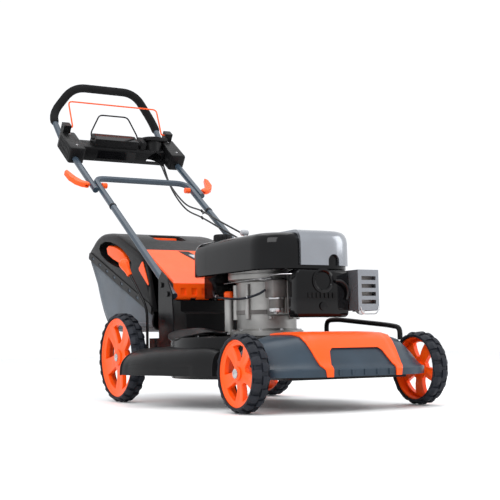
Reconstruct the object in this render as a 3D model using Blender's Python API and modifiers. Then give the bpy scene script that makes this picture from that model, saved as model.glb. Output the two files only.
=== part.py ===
"""Walk-behind petrol mower: deck, wheels, engine, folding handle, grass bag and side chute.

Machine frame: the front faces -Y, +Z is up, x = 0 is the centre plane, z = 0 is the ground and
y = 0 lies midway between the axles. The root empty then moves the whole machine so that the bottom
centre of its bounding box is the part's origin. Lengths are in metres.
"""

from math import atan2, cos, hypot, pi, radians, sin, sqrt

import bmesh
import bpy
from mathutils import Matrix, Vector

# Clearances
GAP = 0.0004  # between pieces that touch
PLAY = 0.0005  # round a shaft in its bore
WALL = 0.003  # moulded and pressed shells

# Wheels and axles
WHEELBASE = 0.758
FRONT_WHEEL_R = 0.0975
REAR_WHEEL_R = 0.134
TYRE_WIDTH = 0.050
FRONT_TRACK_FACE = 0.297  # outer face of a front tyre
REAR_TRACK_FACE = 0.287
FRONT_RIM_R = 0.084
REAR_RIM_R = 0.1185
STUB_R = 0.007
REAR_AXLE_R = 0.0075
FRONT_Y = -WHEELBASE / 2
REAR_Y = WHEELBASE / 2

# Height adjustment: trailing arms on cross tubes, joined by a link rod
ARM = 0.055
ARM_PLATE = 0.005
CROSS_TUBE_R = 0.008
CRANK = 0.022
LINK_X = 0.120
LINK_R = 0.003
FRONT_PIVOT = (FRONT_Y - ARM, FRONT_WHEEL_R)
REAR_PIVOT = (REAR_Y - ARM, REAR_WHEEL_R)

# Deck
BLADE_Y = -0.040  # the crankshaft stands at (0, BLADE_Y)
DECK_R = 0.272
DECK_BOTTOM = 0.075
DECK_TOP = 0.190
TAIL_HALF = 0.190
TAIL_END = 0.340
TONGUE_HALF = 0.175
TONGUE_END = -0.447
TONGUE_TOP = 0.135
SHAFT_HOLE_R = 0.020

# Front cover
COVER_HALF = 0.240
COVER_REAR_Y = -0.300
COVER_FRONT_Y = -0.510
COVER_TOP = DECK_TOP + WALL + GAP
COVER_BOTTOM = 0.086
BUMPER_TOP_HALF = 0.146
BUMPER_FOOT_HALF = 0.112
BUMPER_T = 0.004
GRAB_HALF = 0.078

# Engine
SHAFT_R = 0.0125
CASE_TOP = 0.3616
HOUSING_HALF = 0.145
HOUSING_FRONT = -0.290
HOUSING_REAR = 0.050
HOUSING_BOTTOM = CASE_TOP + GAP
HOUSING_TOP = 0.462
COWL_T = 0.008
COWL_X = (-0.045, 0.122)
TANK_REAR = 0.155
NECK_R = 0.018
CAP_AT = (-0.055, 0.112)
FLYWHEEL_R = 0.080
FLYWHEEL_BOTTOM = 0.380
BORE_R = 0.006
BLOCK_HALF = 0.050
BLOCK_FRONT = -0.255
CASE_BODY_R = 0.085
PULLEY_R = 0.028
PULLEY_GROOVE_R = 0.022
PULLEY_Z = (0.1615, 0.1785)
BELT_Z = (0.1665, 0.1735)
BELT_T = 0.0045
BLADE_R = 0.255
BLADE_HALF = 0.026
BLADE_Z = (0.106, 0.110)
GEAR_PULLEY_Y = 0.365
GEAR_PULLEY_R = 0.035
GEAR_GROOVE_R = 0.029

# Handle: lengths along the tubes are measured from the fold pivot
HANDLE_ANGLE = radians(35)
PIVOT = (0.197, 0.318)
TUBE_R = 0.011
LOWER_X = 0.179
UPPER_X = LOWER_X + 2 * TUBE_R + PLAY
JOINT_S = 0.692
LOWER_TOP_S = 0.745
LOWER_BEND = 0.045
UPPER_START_S = 0.655
UPPER_BEND_S = 1.050
GRIP_SHOULDER = (0.207, 1.150, 1.030)
GRIP_CORNER = (0.125, 1.142, 1.140)
FOAM_R = 0.0155
STUD_R = 0.004
CLAMP_R = 0.003
BRACKET_T = 0.004
LOCK_S = 0.050

# Console, in the handle's own frame (x, s along the tubes, n square to them)
CONSOLE_S = (0.945, 1.008)
CONSOLE_N = (-0.030, 0.028)
POD_S = (0.890, 1.030)
POD_N = (-0.019, 0.044)
POD_X = (0.167, 0.226)
CUP_AT = (0.129, 0.995)
CUP_R = 0.036
CUP_Z = (0.886, 0.9375)
STOP_BAIL_AT = (1.035, 0.058)
STOP_BAIL_X = 0.177
STOP_BAIL_REACH = (0.044, 0.105)
DRIVE_BAIL_AT = (0.975, 0.046)
DRIVE_BAIL_X = (-0.121, 0.061)
DRIVE_BAIL_REACH = (0.028, 0.096)
WIRE_R = 0.003

# Rear: tunnel, flap and bag
TUNNEL_HALF = 0.150
TUNNEL_FRONT = 0.204
HINGE = (0.220, 0.308)
HINGE_R = 0.003
FLAP_HALF = 0.1645
LID_HALF = 0.185
CLOTH_HALF = 0.182

# Side discharge
SIDE_HINGE = (-0.178, 0.1968)
CHUTE_TOP = 0.166
CHUTE_BOTTOM = 0.098

COLOURS = {
    "orange": ((0.95, 0.16, 0.03), 0.35, 0.0),
    "slate": ((0.045, 0.070, 0.100), 0.40, 0.0),
    "black": ((0.012, 0.012, 0.013), 0.40, 0.0),
    "gloss": ((0.008, 0.008, 0.009), 0.12, 0.0),
    "rubber": ((0.014, 0.016, 0.020), 0.80, 0.0),
    "foam": ((0.020, 0.020, 0.022), 0.90, 0.0),
    "silver": ((0.42, 0.44, 0.48), 0.30, 0.6),
    "casting": ((0.50, 0.50, 0.49), 0.45, 0.8),
    "steel": ((0.45, 0.45, 0.46), 0.35, 1.0),
    "cloth": ((0.040, 0.062, 0.090), 0.85, 0.0),
    "paint": ((0.015, 0.016, 0.018), 0.30, 0.0),
}


# ---------------------------------------------------------------- scene and helpers
for old in list(bpy.data.objects):
    bpy.data.objects.remove(old, do_unlink=True)

PARTS = bpy.data.collections.new("walk_behind_mower")
CUTTERS = bpy.data.collections.new("cutters")
bpy.context.scene.collection.children.link(PARTS)
bpy.context.scene.collection.children.link(CUTTERS)


def empty(name, at, parent=None):
    """A joint or body empty at a machine-frame point."""
    marker = bpy.data.objects.new(name, None)
    marker.empty_display_size = 0.03
    PARTS.objects.link(marker)
    marker["at"] = at
    marker.parent = parent
    start = Vector(parent["at"]) if parent else Vector((0, 0, 0))
    marker.location = Vector(at) - start
    return marker


ROOT = empty("mower_frame", (0, 0, 0))


def hold(obj, body):
    """Parents an object to a body's empty and keeps it where it is."""
    obj.parent = body
    obj.location = obj.location - Vector(body["at"])
    return obj


def material(name):
    found = bpy.data.materials.get(name)
    if found:
        return found
    colour, roughness, metallic = COLOURS[name]
    made = bpy.data.materials.new(name)
    made.use_nodes = True
    shader = made.node_tree.nodes["Principled BSDF"]
    shader.inputs["Base Color"].default_value = (*colour, 1)
    shader.inputs["Roughness"].default_value = roughness
    shader.inputs["Metallic"].default_value = metallic
    return made


def finish(obj, colour, body=ROOT, smooth=True):
    """Gives a part its material and its body."""
    obj.data.materials.clear()
    obj.data.materials.append(material(colour))
    if smooth and obj.type == "MESH":
        obj.data.shade_smooth()
        obj.data.set_sharp_from_angle(angle=radians(35))
    return hold(obj, body)


def mesh_object(name, bm, at=(0, 0, 0)):
    mesh = bpy.data.meshes.new(name)
    bm.to_mesh(mesh)
    bm.free()
    obj = bpy.data.objects.new(name, mesh)
    obj.location = at
    PARTS.objects.link(obj)
    return obj


def box(name, low, high, at=(0, 0, 0), bevel=0.0):
    """A box from its low to its high corner, with optional rounded edges."""
    low, high = Vector(low), Vector(high)
    bm = bmesh.new()
    size = Matrix.Diagonal((*(high - low), 1))
    bmesh.ops.create_cube(bm, size=1.0, matrix=Matrix.Translation((low + high) / 2) @ size)
    if bevel:
        bmesh.ops.bevel(bm, geom=bm.edges[:], offset=bevel, segments=2, profile=0.5, affect="EDGES")
    return mesh_object(name, bm, at)


AXES = {
    "x": (radians(90), 0, radians(90)),  # outline in (y, z), thickness along x
    "y": (radians(90), 0, 0),  # outline in (x, z), thickness along -y
    "z": (0, 0, 0),
}


def to_mesh(obj):
    """Turns a curve object into a welded mesh object at the same place."""
    bpy.context.view_layer.update()
    graph = bpy.context.evaluated_depsgraph_get()
    mesh = bpy.data.meshes.new_from_object(obj.evaluated_get(graph))
    bm = bmesh.new()
    bm.from_mesh(mesh)
    bmesh.ops.remove_doubles(bm, verts=bm.verts, dist=0.00001)
    bmesh.ops.recalc_face_normals(bm, faces=bm.faces)
    bm.to_mesh(mesh)
    bm.free()
    name = obj.name
    solid = bpy.data.objects.new(name + "_mesh", mesh)
    solid.matrix_world = obj.matrix_world.copy()
    bpy.data.objects.remove(obj)
    solid.name = name
    PARTS.objects.link(solid)
    return solid


def plate(name, outline, low, high, axis="z", holes=(), bevel=0.0):
    """A flat outline extruded between two values along its axis, as a mesh."""
    curve = bpy.data.curves.new(name, "CURVE")
    curve.dimensions = "2D"
    curve.fill_mode = "BOTH"
    curve.extrude = (high - low) / 2 - bevel
    curve.bevel_depth = bevel
    curve.bevel_resolution = 0 if bevel < 0.004 else 1
    curve.offset = -bevel
    for loop in (outline, *holes):
        spline = curve.splines.new("POLY")
        spline.points.add(len(loop) - 1)
        for point, place in zip(spline.points, loop):
            point.co = (*place, 0, 1)
        spline.use_cyclic_u = True
    obj = bpy.data.objects.new(name, curve)
    obj.rotation_euler = AXES[axis]
    middle = (low + high) / 2
    obj.location = {"x": (middle, 0, 0), "y": (0, middle, 0), "z": (0, 0, middle)}[axis]
    PARTS.objects.link(obj)
    return to_mesh(obj)


def turned(name, profile, at=(0, 0, 0), axis="z", steps=24):
    """A profile of (radius, height) points, top to bottom on the outer side, turned round its axis.

    A profile that starts and ends at radius 0 is a solid; any other is closed into a ring.
    """
    bm = bmesh.new()
    places = [bm.verts.new((radius, 0, height)) for radius, height in profile]
    pairs = list(zip(places, places[1:]))
    if profile[0][0] > 0 or profile[-1][0] > 0:
        pairs.append((places[-1], places[0]))
    for first, second in pairs:
        bm.edges.new((first, second))
    obj = mesh_object(name, bm, at)
    obj.rotation_euler = {"x": (0, radians(90), 0), "y": (radians(-90), 0, 0), "z": (0, 0, 0)}[axis]
    screw = obj.modifiers.new("turn", "SCREW")
    screw.steps = steps
    screw.render_steps = steps
    screw.use_merge_vertices = True
    screw.merge_threshold = 0.00001
    screw.use_smooth_shade = True
    return obj


def rod(name, radius, start, end, steps=12):
    """A round bar between two points."""
    start, end = Vector(start), Vector(end)
    length = (end - start).length
    bm = bmesh.new()
    turn = (end - start).to_track_quat("Z", "Y").to_matrix().to_4x4()
    place = Matrix.Translation((start + end) / 2) @ turn
    bmesh.ops.create_cone(
        bm, cap_ends=True, segments=steps, radius1=radius, radius2=radius, depth=length, matrix=place
    )
    return mesh_object(name, bm)


def rounded(points, bend, steps=4):
    """A route through the points with every corner turned into a smooth bend.

    The bend is one reach for all corners, or a list with one for each.
    """
    points = [Vector(point) for point in points]
    bends = bend if isinstance(bend, list) else [bend] * (len(points) - 2)
    route = [points[0]]
    for before, corner, after, most in zip(points, points[1:], points[2:], bends):
        into, out = (before - corner), (after - corner)
        reach = min(most, into.length * 0.48, out.length * 0.48)
        start = corner + into.normalized() * reach
        stop = corner + out.normalized() * reach
        for step in range(steps + 1):
            t = step / steps
            route.append(start * (1 - t) ** 2 + corner * 2 * t * (1 - t) + stop * t**2)
    route.append(points[-1])
    return route


def tube(name, route, radius, resolution=2, at=(0, 0, 0)):
    """A round tube or wire along a route of points."""
    curve = bpy.data.curves.new(name, "CURVE")
    curve.dimensions = "3D"
    curve.bevel_depth = radius
    curve.bevel_resolution = resolution
    curve.use_fill_caps = True
    spline = curve.splines.new("POLY")
    spline.points.add(len(route) - 1)
    for point, place in zip(spline.points, route):
        point.co = (*(Vector(place) - Vector(at)), 1)
    obj = bpy.data.objects.new(name, curve)
    obj.location = at
    PARTS.objects.link(obj)
    return obj


def smooth_route(points, count):
    """Points at even steps on a smooth curve through hand-chosen places."""
    places = [Vector(point) for point in points]
    padded = [2 * places[0] - places[1], *places, 2 * places[-1] - places[-2]]
    dense = []
    for a, b, c, d in zip(padded, padded[1:], padded[2:], padded[3:]):
        for step in range(12):
            t = step / 12
            dense.append(
                0.5 * (2 * b + (c - a) * t + (2 * a - 5 * b + 4 * c - d) * t**2 + (3 * b - a - 3 * c + d) * t**3)
            )
    dense.append(places[-1])
    lengths = [0.0]
    for first, second in zip(dense, dense[1:]):
        lengths.append(lengths[-1] + (second - first).length)
    route = []
    at = 0
    for step in range(count):
        wanted = lengths[-1] * step / (count - 1)
        while at < len(lengths) - 2 and lengths[at + 1] < wanted:
            at += 1
        share = (wanted - lengths[at]) / (lengths[at + 1] - lengths[at])
        route.append(dense[at].lerp(dense[at + 1], share))
    return route


def as_helper(obj):
    """Hides a cutter or a joined body; the Boolean on the part uses it."""
    PARTS.objects.unlink(obj)
    CUTTERS.objects.link(obj)
    obj.hide_render = True
    obj.display_type = "WIRE"
    return hold(obj, ROOT)


def combine(target, other, operation):
    modifier = target.modifiers.new(operation.lower(), "BOOLEAN")
    modifier.operation = operation
    modifier.object = as_helper(other)
    modifier.solver = "EXACT"


def cut(target, *cutters):
    for cutter in cutters:
        combine(target, cutter, "DIFFERENCE")
    return target


def join(target, *others):
    for other in others:
        combine(target, other, "UNION")
    return target


def inset(outline, walls):
    """The outline with each edge moved inwards by its wall; a negative wall opens that side.

    The outline runs anticlockwise, and walls holds one value for each edge that starts at its point.
    """
    count = len(outline)
    lines = []
    for index in range(count):
        (x0, y0), (x1, y1) = outline[index], outline[(index + 1) % count]
        length = hypot(x1 - x0, y1 - y0)
        normal = (-(y1 - y0) / length, (x1 - x0) / length)
        shift = walls[index] if isinstance(walls, (list, tuple)) else walls
        lines.append((normal, normal[0] * x0 + normal[1] * y0 + shift))
    moved = []
    for index in range(count):
        (n0, c0), (n1, c1) = lines[index - 1], lines[index]
        det = n0[0] * n1[1] - n0[1] * n1[0]
        moved.append(((c0 * n1[1] - c1 * n0[1]) / det, (n0[0] * c1 - n1[0] * c0) / det))
    return moved


def circle(radius, at=(0, 0), steps=48, start=0.0, end=2 * pi):
    """Points on an arc; a full circle leaves out its last, repeated point."""
    last = steps if end - start < 2 * pi - 0.001 else steps - 1
    return [
        (at[0] + radius * cos(start + (end - start) * step / steps),
         at[1] + radius * sin(start + (end - start) * step / steps))
        for step in range(last + 1)
    ]


def rounded_rectangle(x0, x1, y0, y1, corners, steps=4):
    """A rectangle whose four corner radii run anticlockwise from the low corner."""
    r0, r1, r2, r3 = corners
    return (
        circle(r0, (x0 + r0, y0 + r0), steps, pi, 1.5 * pi)
        + circle(r1, (x1 - r1, y0 + r1), steps, 1.5 * pi, 2 * pi)
        + circle(r2, (x1 - r2, y1 - r2), steps, 0, 0.5 * pi)
        + circle(r3, (x0 + r3, y1 - r3), steps, 0.5 * pi, pi)
    )


def along(s, n=0.0, x=0.0):
    """A point in the handle's own frame, in machine coordinates."""
    return Vector((
        x,
        PIVOT[0] + s * cos(HANDLE_ANGLE) - n * sin(HANDLE_ANGLE),
        PIVOT[1] + s * sin(HANDLE_ANGLE) + n * cos(HANDLE_ANGLE),
    ))


def in_handle_frame(obj):
    """Tips an object made in (x, s, n) onto the handle."""
    obj.rotation_euler = (HANDLE_ANGLE, 0, 0)
    obj.location = along(0)
    return obj


# ---------------------------------------------------------------- bodies
CRANK_BODY = empty("crank_axis", (0, BLADE_Y, BLADE_Z[0]), ROOT)
REAR_CARRIER = empty("rear_carriage_axis", (0, *REAR_PIVOT), ROOT)
FRONT_CARRIER = empty("front_carriage_axis", (0, *FRONT_PIVOT), ROOT)
AXLE_BODY = empty("rear_axle_axis", (0, REAR_Y, REAR_WHEEL_R), REAR_CARRIER)
PULLEY_BODY = empty("gearbox_pulley_axis", (0, GEAR_PULLEY_Y, BELT_Z[0]), REAR_CARRIER)
LINK_BODY = empty("height_link_axis", (LINK_X, REAR_PIVOT[0], REAR_PIVOT[1] + CRANK), REAR_CARRIER)
LOWER_BODY = empty("lower_fold_axis", (0, *PIVOT), ROOT)
UPPER_BODY = empty("upper_fold_axis", along(JOINT_S), LOWER_BODY)
STOP_BODY = empty("stop_bail_axis", along(*STOP_BAIL_AT), UPPER_BODY)
DRIVE_BODY = empty("drive_bail_axis", along(*DRIVE_BAIL_AT), UPPER_BODY)
FLAP_BODY = empty("rear_flap_axis", (0, *HINGE), ROOT)
BAG_BODY = empty("bag_slide", (0, 0.6, 0.35), ROOT)
SIDE_FLAP_BODY = empty("side_flap_axis", (SIDE_HINGE[0], 0, SIDE_HINGE[1]), ROOT)
CHUTE_BODY = empty("side_chute_slide", (-0.3, 0, 0.13), ROOT)
CAP_BODY = empty("fuel_cap_axis", (*CAP_AT, HOUSING_TOP), ROOT)


# ---------------------------------------------------------------- deck and covers
def deck_shell():
    centre = (0, BLADE_Y)
    ring = plate("deck_shell", circle(DECK_R, centre, 44), DECK_BOTTOM, DECK_TOP, bevel=0.008)
    low = DECK_BOTTOM + WALL
    join(
        ring,
        box("tail", (-TAIL_HALF, 0, low), (TAIL_HALF, TAIL_END, DECK_TOP)),
        box("tongue", (-TONGUE_HALF, TONGUE_END, low), (TONGUE_HALF, -0.1, TONGUE_TOP)),
    )
    under = DECK_BOTTOM - 0.02
    cut(
        ring,
        plate("ring_inside", circle(DECK_R - WALL, centre, 44), under, DECK_TOP - WALL),
        box("tail_inside", (WALL - TAIL_HALF, 0, under), (TAIL_HALF - WALL, TAIL_END - WALL, DECK_TOP - WALL)),
        box(
            "tongue_inside",
            (WALL - TONGUE_HALF, TONGUE_END + WALL, under),
            (TONGUE_HALF - WALL, -0.1, TONGUE_TOP - WALL),
        ),
        rod("shaft_hole", SHAFT_HOLE_R, (0, BLADE_Y, DECK_TOP - 0.02), (0, BLADE_Y, DECK_TOP + 0.02), 20),
        box("grass_window", (-0.140, 0.185, DECK_TOP - 0.02), (0.140, 0.278, DECK_TOP + 0.02)),
        box("gearbox_window", (-0.140, TAIL_END - 0.02, under), (0.140, TAIL_END + 0.02, DECK_TOP - 0.008)),
        box("side_window", (-0.30, -0.150, DECK_BOTTOM + 0.013), (-0.20, 0.115, CHUTE_TOP - 0.006)),
        rod("front_pivots", CROSS_TUBE_R + PLAY, (-0.2, *FRONT_PIVOT), (0.2, *FRONT_PIVOT), 16),
        rod("rear_pivots", CROSS_TUBE_R + PLAY, (-0.2, *REAR_PIVOT), (0.2, *REAR_PIVOT), 16),
    )
    finish(ring, "paint")


COVER_PROFILE = (
    # y, height share that falls with the side drop, z
    (COVER_REAR_Y, 1.00, COVER_TOP),
    (-0.405, 1.00, COVER_TOP - 0.002),
    (-0.438, 0.95, COVER_TOP - 0.012),
    (-0.468, 0.55, 0.150),
    (-0.497, 0.10, 0.112),
    (COVER_FRONT_Y, 0.00, 0.106),
    (COVER_FRONT_Y + 0.001, 0.00, COVER_BOTTOM),
)


def cover_point(x, row):
    """A point of the cover's outer surface; it sweeps back and down towards its sides."""
    y, fall, z = COVER_PROFILE[row]
    share = abs(x) / COVER_HALF
    back = 0.070 * share**4 if row else 0.0
    return Vector((x, y + back, z - 0.052 * share**5 * fall))


def cover_sheet(name, half_at, thickness, outwards, columns):
    """A grid over the cover's surface, thickened inwards or outwards."""
    rows = len(COVER_PROFILE)
    bm = bmesh.new()
    grid = []
    for row in range(rows):
        half = half_at(row / (rows - 1))
        line = [cover_point(half * (2 * c / (columns - 1) - 1), row) for c in range(columns)]
        grid.append([bm.verts.new(place) for place in line])
    for row in range(rows - 1):
        for c in range(columns - 1):
            bm.faces.new((grid[row][c], grid[row + 1][c], grid[row + 1][c + 1], grid[row][c + 1]))
    obj = mesh_object(name, bm)
    shell = obj.modifiers.new("shell", "SOLIDIFY")
    shell.thickness = thickness
    shell.offset = 1.0 if outwards else -1.0
    shell.use_even_offset = True
    return obj


def front_cover():
    cover = cover_sheet("front_cover", lambda share: COVER_HALF, WALL, False, 13)
    cut(cover, box("grab_hole", (-GRAB_HALF, -0.60, 0.121), (GRAB_HALF, -0.450, 0.156)))
    finish(cover, "slate")
    foot = BUMPER_FOOT_HALF - BUMPER_TOP_HALF
    bumper = cover_sheet("front_bumper", lambda share: BUMPER_TOP_HALF + foot * share, BUMPER_T, True, 9)
    for vertex in bumper.data.vertices:
        vertex.co.y -= GAP * 2
        vertex.co.z += GAP * 2
    opening = [(-0.098, 0.05), (0.098, 0.05), (0.098, 0.108), (0.076, 0.158), (-0.076, 0.158), (-0.098, 0.108)]
    cut(bumper, plate("grab_arch", opening, -0.60, -0.452, "y"))
    finish(bumper, "orange")


def carry_rail():
    x = 0.193
    route = [
        (x, -0.401, 0.1735), (x, -0.401, 0.206), (x, -0.350, 0.213),
        (x, -0.110, 0.234), (x, -0.055, 0.232), (x, -0.055, DECK_TOP + GAP),
    ]
    rail = tube("carry_rail", rounded(route, 0.028), 0.007)
    finish(rail, "black")


def handle_bracket(name, side):
    """Side plate on the deck's tail, with the fold stud and the head of the lock bolt."""
    inner = LOWER_X + TUBE_R + PLAY
    outer = inner + BRACKET_T
    outline = [
        (0.168, 0.140), (0.262, 0.140), (0.264, 0.300), (0.262, 0.366),
        (0.240, 0.386), (0.212, 0.372), (0.172, 0.318), (0.166, 0.250),
    ]
    low, high = sorted((side * inner, side * outer))
    bracket = plate(name, outline, low, high, "x")
    lock = along(LOCK_S)
    stud_end = LOWER_X - TUBE_R - 0.001
    join(
        bracket,
        rod(name + "_stud", STUD_R, (side * stud_end, *PIVOT), (side * (outer - 0.001), *PIVOT), 12),
        rod(name + "_head", 0.008, (side * (outer - 0.001), *PIVOT), (side * (outer + 0.005), *PIVOT), 6),
        rod(name + "_lock", 0.008, (side * (outer - 0.001), *lock[1:]), (side * (outer + 0.005), *lock[1:]), 6),
    )
    finish(bracket, "black", smooth=False)


# ---------------------------------------------------------------- rear tunnel, flap and bag
TUNNEL_OUTLINE = [
    # anticlockwise in (y, z): floor, mouth, top, then down past the flap's barrel to the front
    (0.168, DECK_TOP + GAP), (0.283, DECK_TOP + GAP), (0.315, 0.232), (0.3858, 0.4355), (0.240, 0.3545),
    (0.232, 0.300), (TUNNEL_FRONT, 0.300), (TUNNEL_FRONT, 0.268), (0.168, 0.260),
]
FLAP_OUTLINE = [
    (0.2185, 0.308), (0.2245, 0.3500), (0.2290, 0.3525), (0.4300, 0.4650), (0.4300, 0.4690),
    (0.2275, 0.3565), (0.2205, 0.3520), (0.2145, 0.308),
]


def discharge_tunnel():
    tunnel = plate("discharge_tunnel", TUNNEL_OUTLINE, -TUNNEL_HALF, TUNNEL_HALF, "x")
    walls = [-0.02, WALL, -0.05, -0.05, WALL, WALL, WALL, WALL, WALL]
    inside = inset(TUNNEL_OUTLINE, walls)
    cut(tunnel, plate("tunnel_inside", inside, WALL - TUNNEL_HALF, TUNNEL_HALF - WALL, "x"))
    finish(tunnel, "black", smooth=False)


def rear_flap():
    """Sprung flap over the tunnel and the bag's front; its foot is a barrel on the hinge rod."""
    barrel = rod("rear_flap", 0.0062, (-FLAP_HALF, *HINGE), (FLAP_HALF, *HINGE), 14)
    join(barrel, plate("flap_leaf", FLAP_OUTLINE, 0.0002 - FLAP_HALF, FLAP_HALF - 0.0002, "x"))
    cut(barrel, rod("flap_bore", HINGE_R + PLAY, (-0.2, *HINGE), (0.2, *HINGE), 12))
    finish(barrel, "orange", FLAP_BODY)
    reach = LOWER_X + TUBE_R + PLAY - GAP
    finish(rod("flap_hinge_rod", HINGE_R, (-reach, *HINGE), (reach, *HINGE), 12), "steel")


SEAM_FRONT = (0.3262, 0.262)
SEAM_REAR = (0.838, 0.470)


def bag():
    """Moulded lid over a cloth sack; both are open towards the tunnel."""
    lid_outline = [
        SEAM_FRONT, SEAM_REAR, (0.842, 0.486), (0.795, 0.526), (0.735, 0.546),
        (0.655, 0.540), (0.550, 0.508), (0.450, 0.470), (0.3875, 0.438),
    ]
    lid = plate("bag_lid", lid_outline, -LID_HALF, LID_HALF, "x", bevel=0.010)
    walls = [-0.03] + [WALL] * 7 + [-0.05]
    cut(lid, plate("lid_inside", inset(lid_outline, walls), WALL - LID_HALF, LID_HALF - WALL, "x"))
    finish(lid, "black", BAG_BODY)
    drop = GAP * 2
    cloth_outline = [
        (0.3485, 0.214), (0.655, 0.214), (0.703, 0.240), (0.775, 0.336), (0.815, 0.440),
        (SEAM_REAR[0], SEAM_REAR[1] - drop), (SEAM_FRONT[0], SEAM_FRONT[1] - drop), (0.3190, 0.240),
    ]
    cloth = plate("bag_cloth", cloth_outline, -CLOTH_HALF, CLOTH_HALF, "x", bevel=0.006)
    walls = [WALL] * 5 + [-0.03, -0.012, WALL]
    cut(cloth, plate("cloth_inside", inset(cloth_outline, walls), WALL - CLOTH_HALF, CLOTH_HALF - WALL, "x"))
    finish(cloth, "cloth", BAG_BODY)


# ---------------------------------------------------------------- side discharge
def side_flap():
    """Leaf-shaped door over the chute, on a barrel that lies along the deck's shoulder."""
    x, z = SIDE_HINGE
    barrel = rod("side_flap", 0.0060, (x, -0.130, z), (x, 0.120, z), 14)
    outline = [
        (x - 0.002, -0.138), (-0.212, -0.134), (-0.252, -0.098), (-0.272, -0.030),
        (-0.268, 0.040), (-0.238, 0.100), (x - 0.002, 0.122),
    ]
    leaf = plate("side_leaf", [(px - x, py) for px, py in outline][::-1], -0.0015, 0.0015)
    leaf.location = (x, 0, z)
    leaf.rotation_euler = (0, radians(-1.5), 0)
    join(barrel, leaf)
    finish(barrel, "black", SIDE_FLAP_BODY)


def side_chute():
    """Scoop on the deck's side, open towards the deck, the ground and the rear."""
    outline = [
        # anticlockwise: the deck's side and the rear are open
        (-0.235, -0.205), (-0.205, 0.168), (-0.352, 0.186), (-0.346, 0.090), (-0.268, -0.190),
    ]
    chute = plate("side_chute", outline, CHUTE_BOTTOM, CHUTE_TOP, bevel=0.006)
    walls = [-0.03, -0.03, WALL, WALL, WALL]
    cut(
        chute,
        plate("chute_inside", inset(outline, walls), CHUTE_BOTTOM - 0.02, CHUTE_TOP - WALL),
        plate("chute_seat", circle(DECK_R + GAP * 1.5, (0, BLADE_Y), 44), 0.05, 0.25),
    )
    finish(chute, "black", CHUTE_BODY)


# ---------------------------------------------------------------- engine
def crankcase():
    bore = SHAFT_R + PLAY
    base = DECK_TOP + GAP
    profile = [
        (bore, CASE_TOP), (0.108, CASE_TOP), (0.108, CASE_TOP - 0.014), (CASE_BODY_R, CASE_TOP - 0.022),
        (CASE_BODY_R, base + 0.020), (0.104, base + 0.014), (0.104, base), (bore, base),
    ]
    case = turned("crankcase", profile, (0, BLADE_Y, 0), steps=28)
    filler = Vector((-0.088, 0.020, 0))
    join(case, rod("filler_boss", 0.0135, filler + Vector((0, 0, 0.196)), filler + Vector((0, 0, 0.296)), 16))
    cut(case, rod("filler_bore", 0.0045, filler + Vector((0, 0, 0.225)), filler + Vector((0, 0, 0.32)), 10))
    finish(case, "casting")
    cap = [
        (0, 0.318), (0.010, 0.318), (0.014, 0.314), (0.014, 0.2964), (0.0038, 0.2964), (0.0038, 0.235), (0, 0.235),
    ]
    finish(turned("oil_dipstick", cap, filler, steps=16), "orange")


def cylinder():
    rear = BLADE_Y - CASE_BODY_R - GAP
    block = box("cylinder_block", (-BLOCK_HALF, BLOCK_FRONT, 0.244), (BLOCK_HALF, rear, 0.338), bevel=0.004)
    finish(block, "casting")
    shroud = box(
        "cylinder_shroud", (-0.066, -0.312, 0.236), (0.098, BLOCK_FRONT - GAP, HOUSING_BOTTOM - GAP), bevel=0.010
    )
    finish(shroud, "gloss")


def housing_outline(margin=0.0, rear=TANK_REAR):
    return rounded_rectangle(
        -HOUSING_HALF + margin, HOUSING_HALF - margin, HOUSING_FRONT + margin, rear - margin,
        (0.090 - margin, 0.090 - margin, 0.045, 0.045), 5,
    )


def blower_housing():
    """Black housing over the flywheel, with the tank behind it and the silver cowl over its front."""
    top = HOUSING_TOP
    housing = plate("blower_housing", housing_outline(), HOUSING_BOTTOM, top, bevel=0.012)
    cut(
        housing,
        box("tank_side", (-0.3, HOUSING_REAR, 0.3), (0.3, 0.3, 0.6)),
        rod("fan_chamber", FLYWHEEL_R + 0.005, (0, BLADE_Y, 0.34), (0, BLADE_Y, 0.430), 28),
    )
    finish(housing, "gloss")

    tank = plate("fuel_tank", housing_outline(), HOUSING_BOTTOM, top, bevel=0.012)
    cut(tank, box("housing_side", (-0.3, -0.4, 0.3), (0.3, HOUSING_REAR + GAP, 0.6)))
    neck = (*CAP_AT, top - 0.01)
    join(
        tank,
        box("tank_step", (-0.100, 0.073, 0.302), (0.020, 0.146, HOUSING_BOTTOM + 0.002)),
        rod("tank_neck", NECK_R, neck, (*CAP_AT, top + 0.010), 20),
    )
    finish(tank, "gloss")

    cap = [
        (0, 0.490), (0.024, 0.490), (0.028, 0.486), (0.028, top + GAP), (NECK_R + PLAY, top + GAP),
        (NECK_R + PLAY, top + 0.010 + GAP), (0, top + 0.010 + GAP),
    ]
    finish(turned("fuel_cap", cap, (*CAP_AT, 0), steps=24), "black", CAP_BODY)

    cowl = plate("engine_cowl", housing_outline(-COWL_T), HOUSING_BOTTOM + 0.002, top + COWL_T, bevel=0.014)
    keep = box("cowl_keep", (COWL_X[0], -0.4, 0.3), (COWL_X[1], 0.020, 0.6))
    combine(cowl, keep, "INTERSECT")
    cut(
        cowl,
        plate("cowl_inside", housing_outline(-GAP), 0.3, top + GAP),
        rod("cowl_arch", 0.020, (0.060, -0.4, HOUSING_BOTTOM + 0.014), (0.060, -0.2, HOUSING_BOTTOM + 0.014), 20),
        box("cowl_arch_foot", (0.040, -0.4, 0.33), (0.080, -0.2, HOUSING_BOTTOM + 0.014)),
    )
    finish(cowl, "silver")


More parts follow.
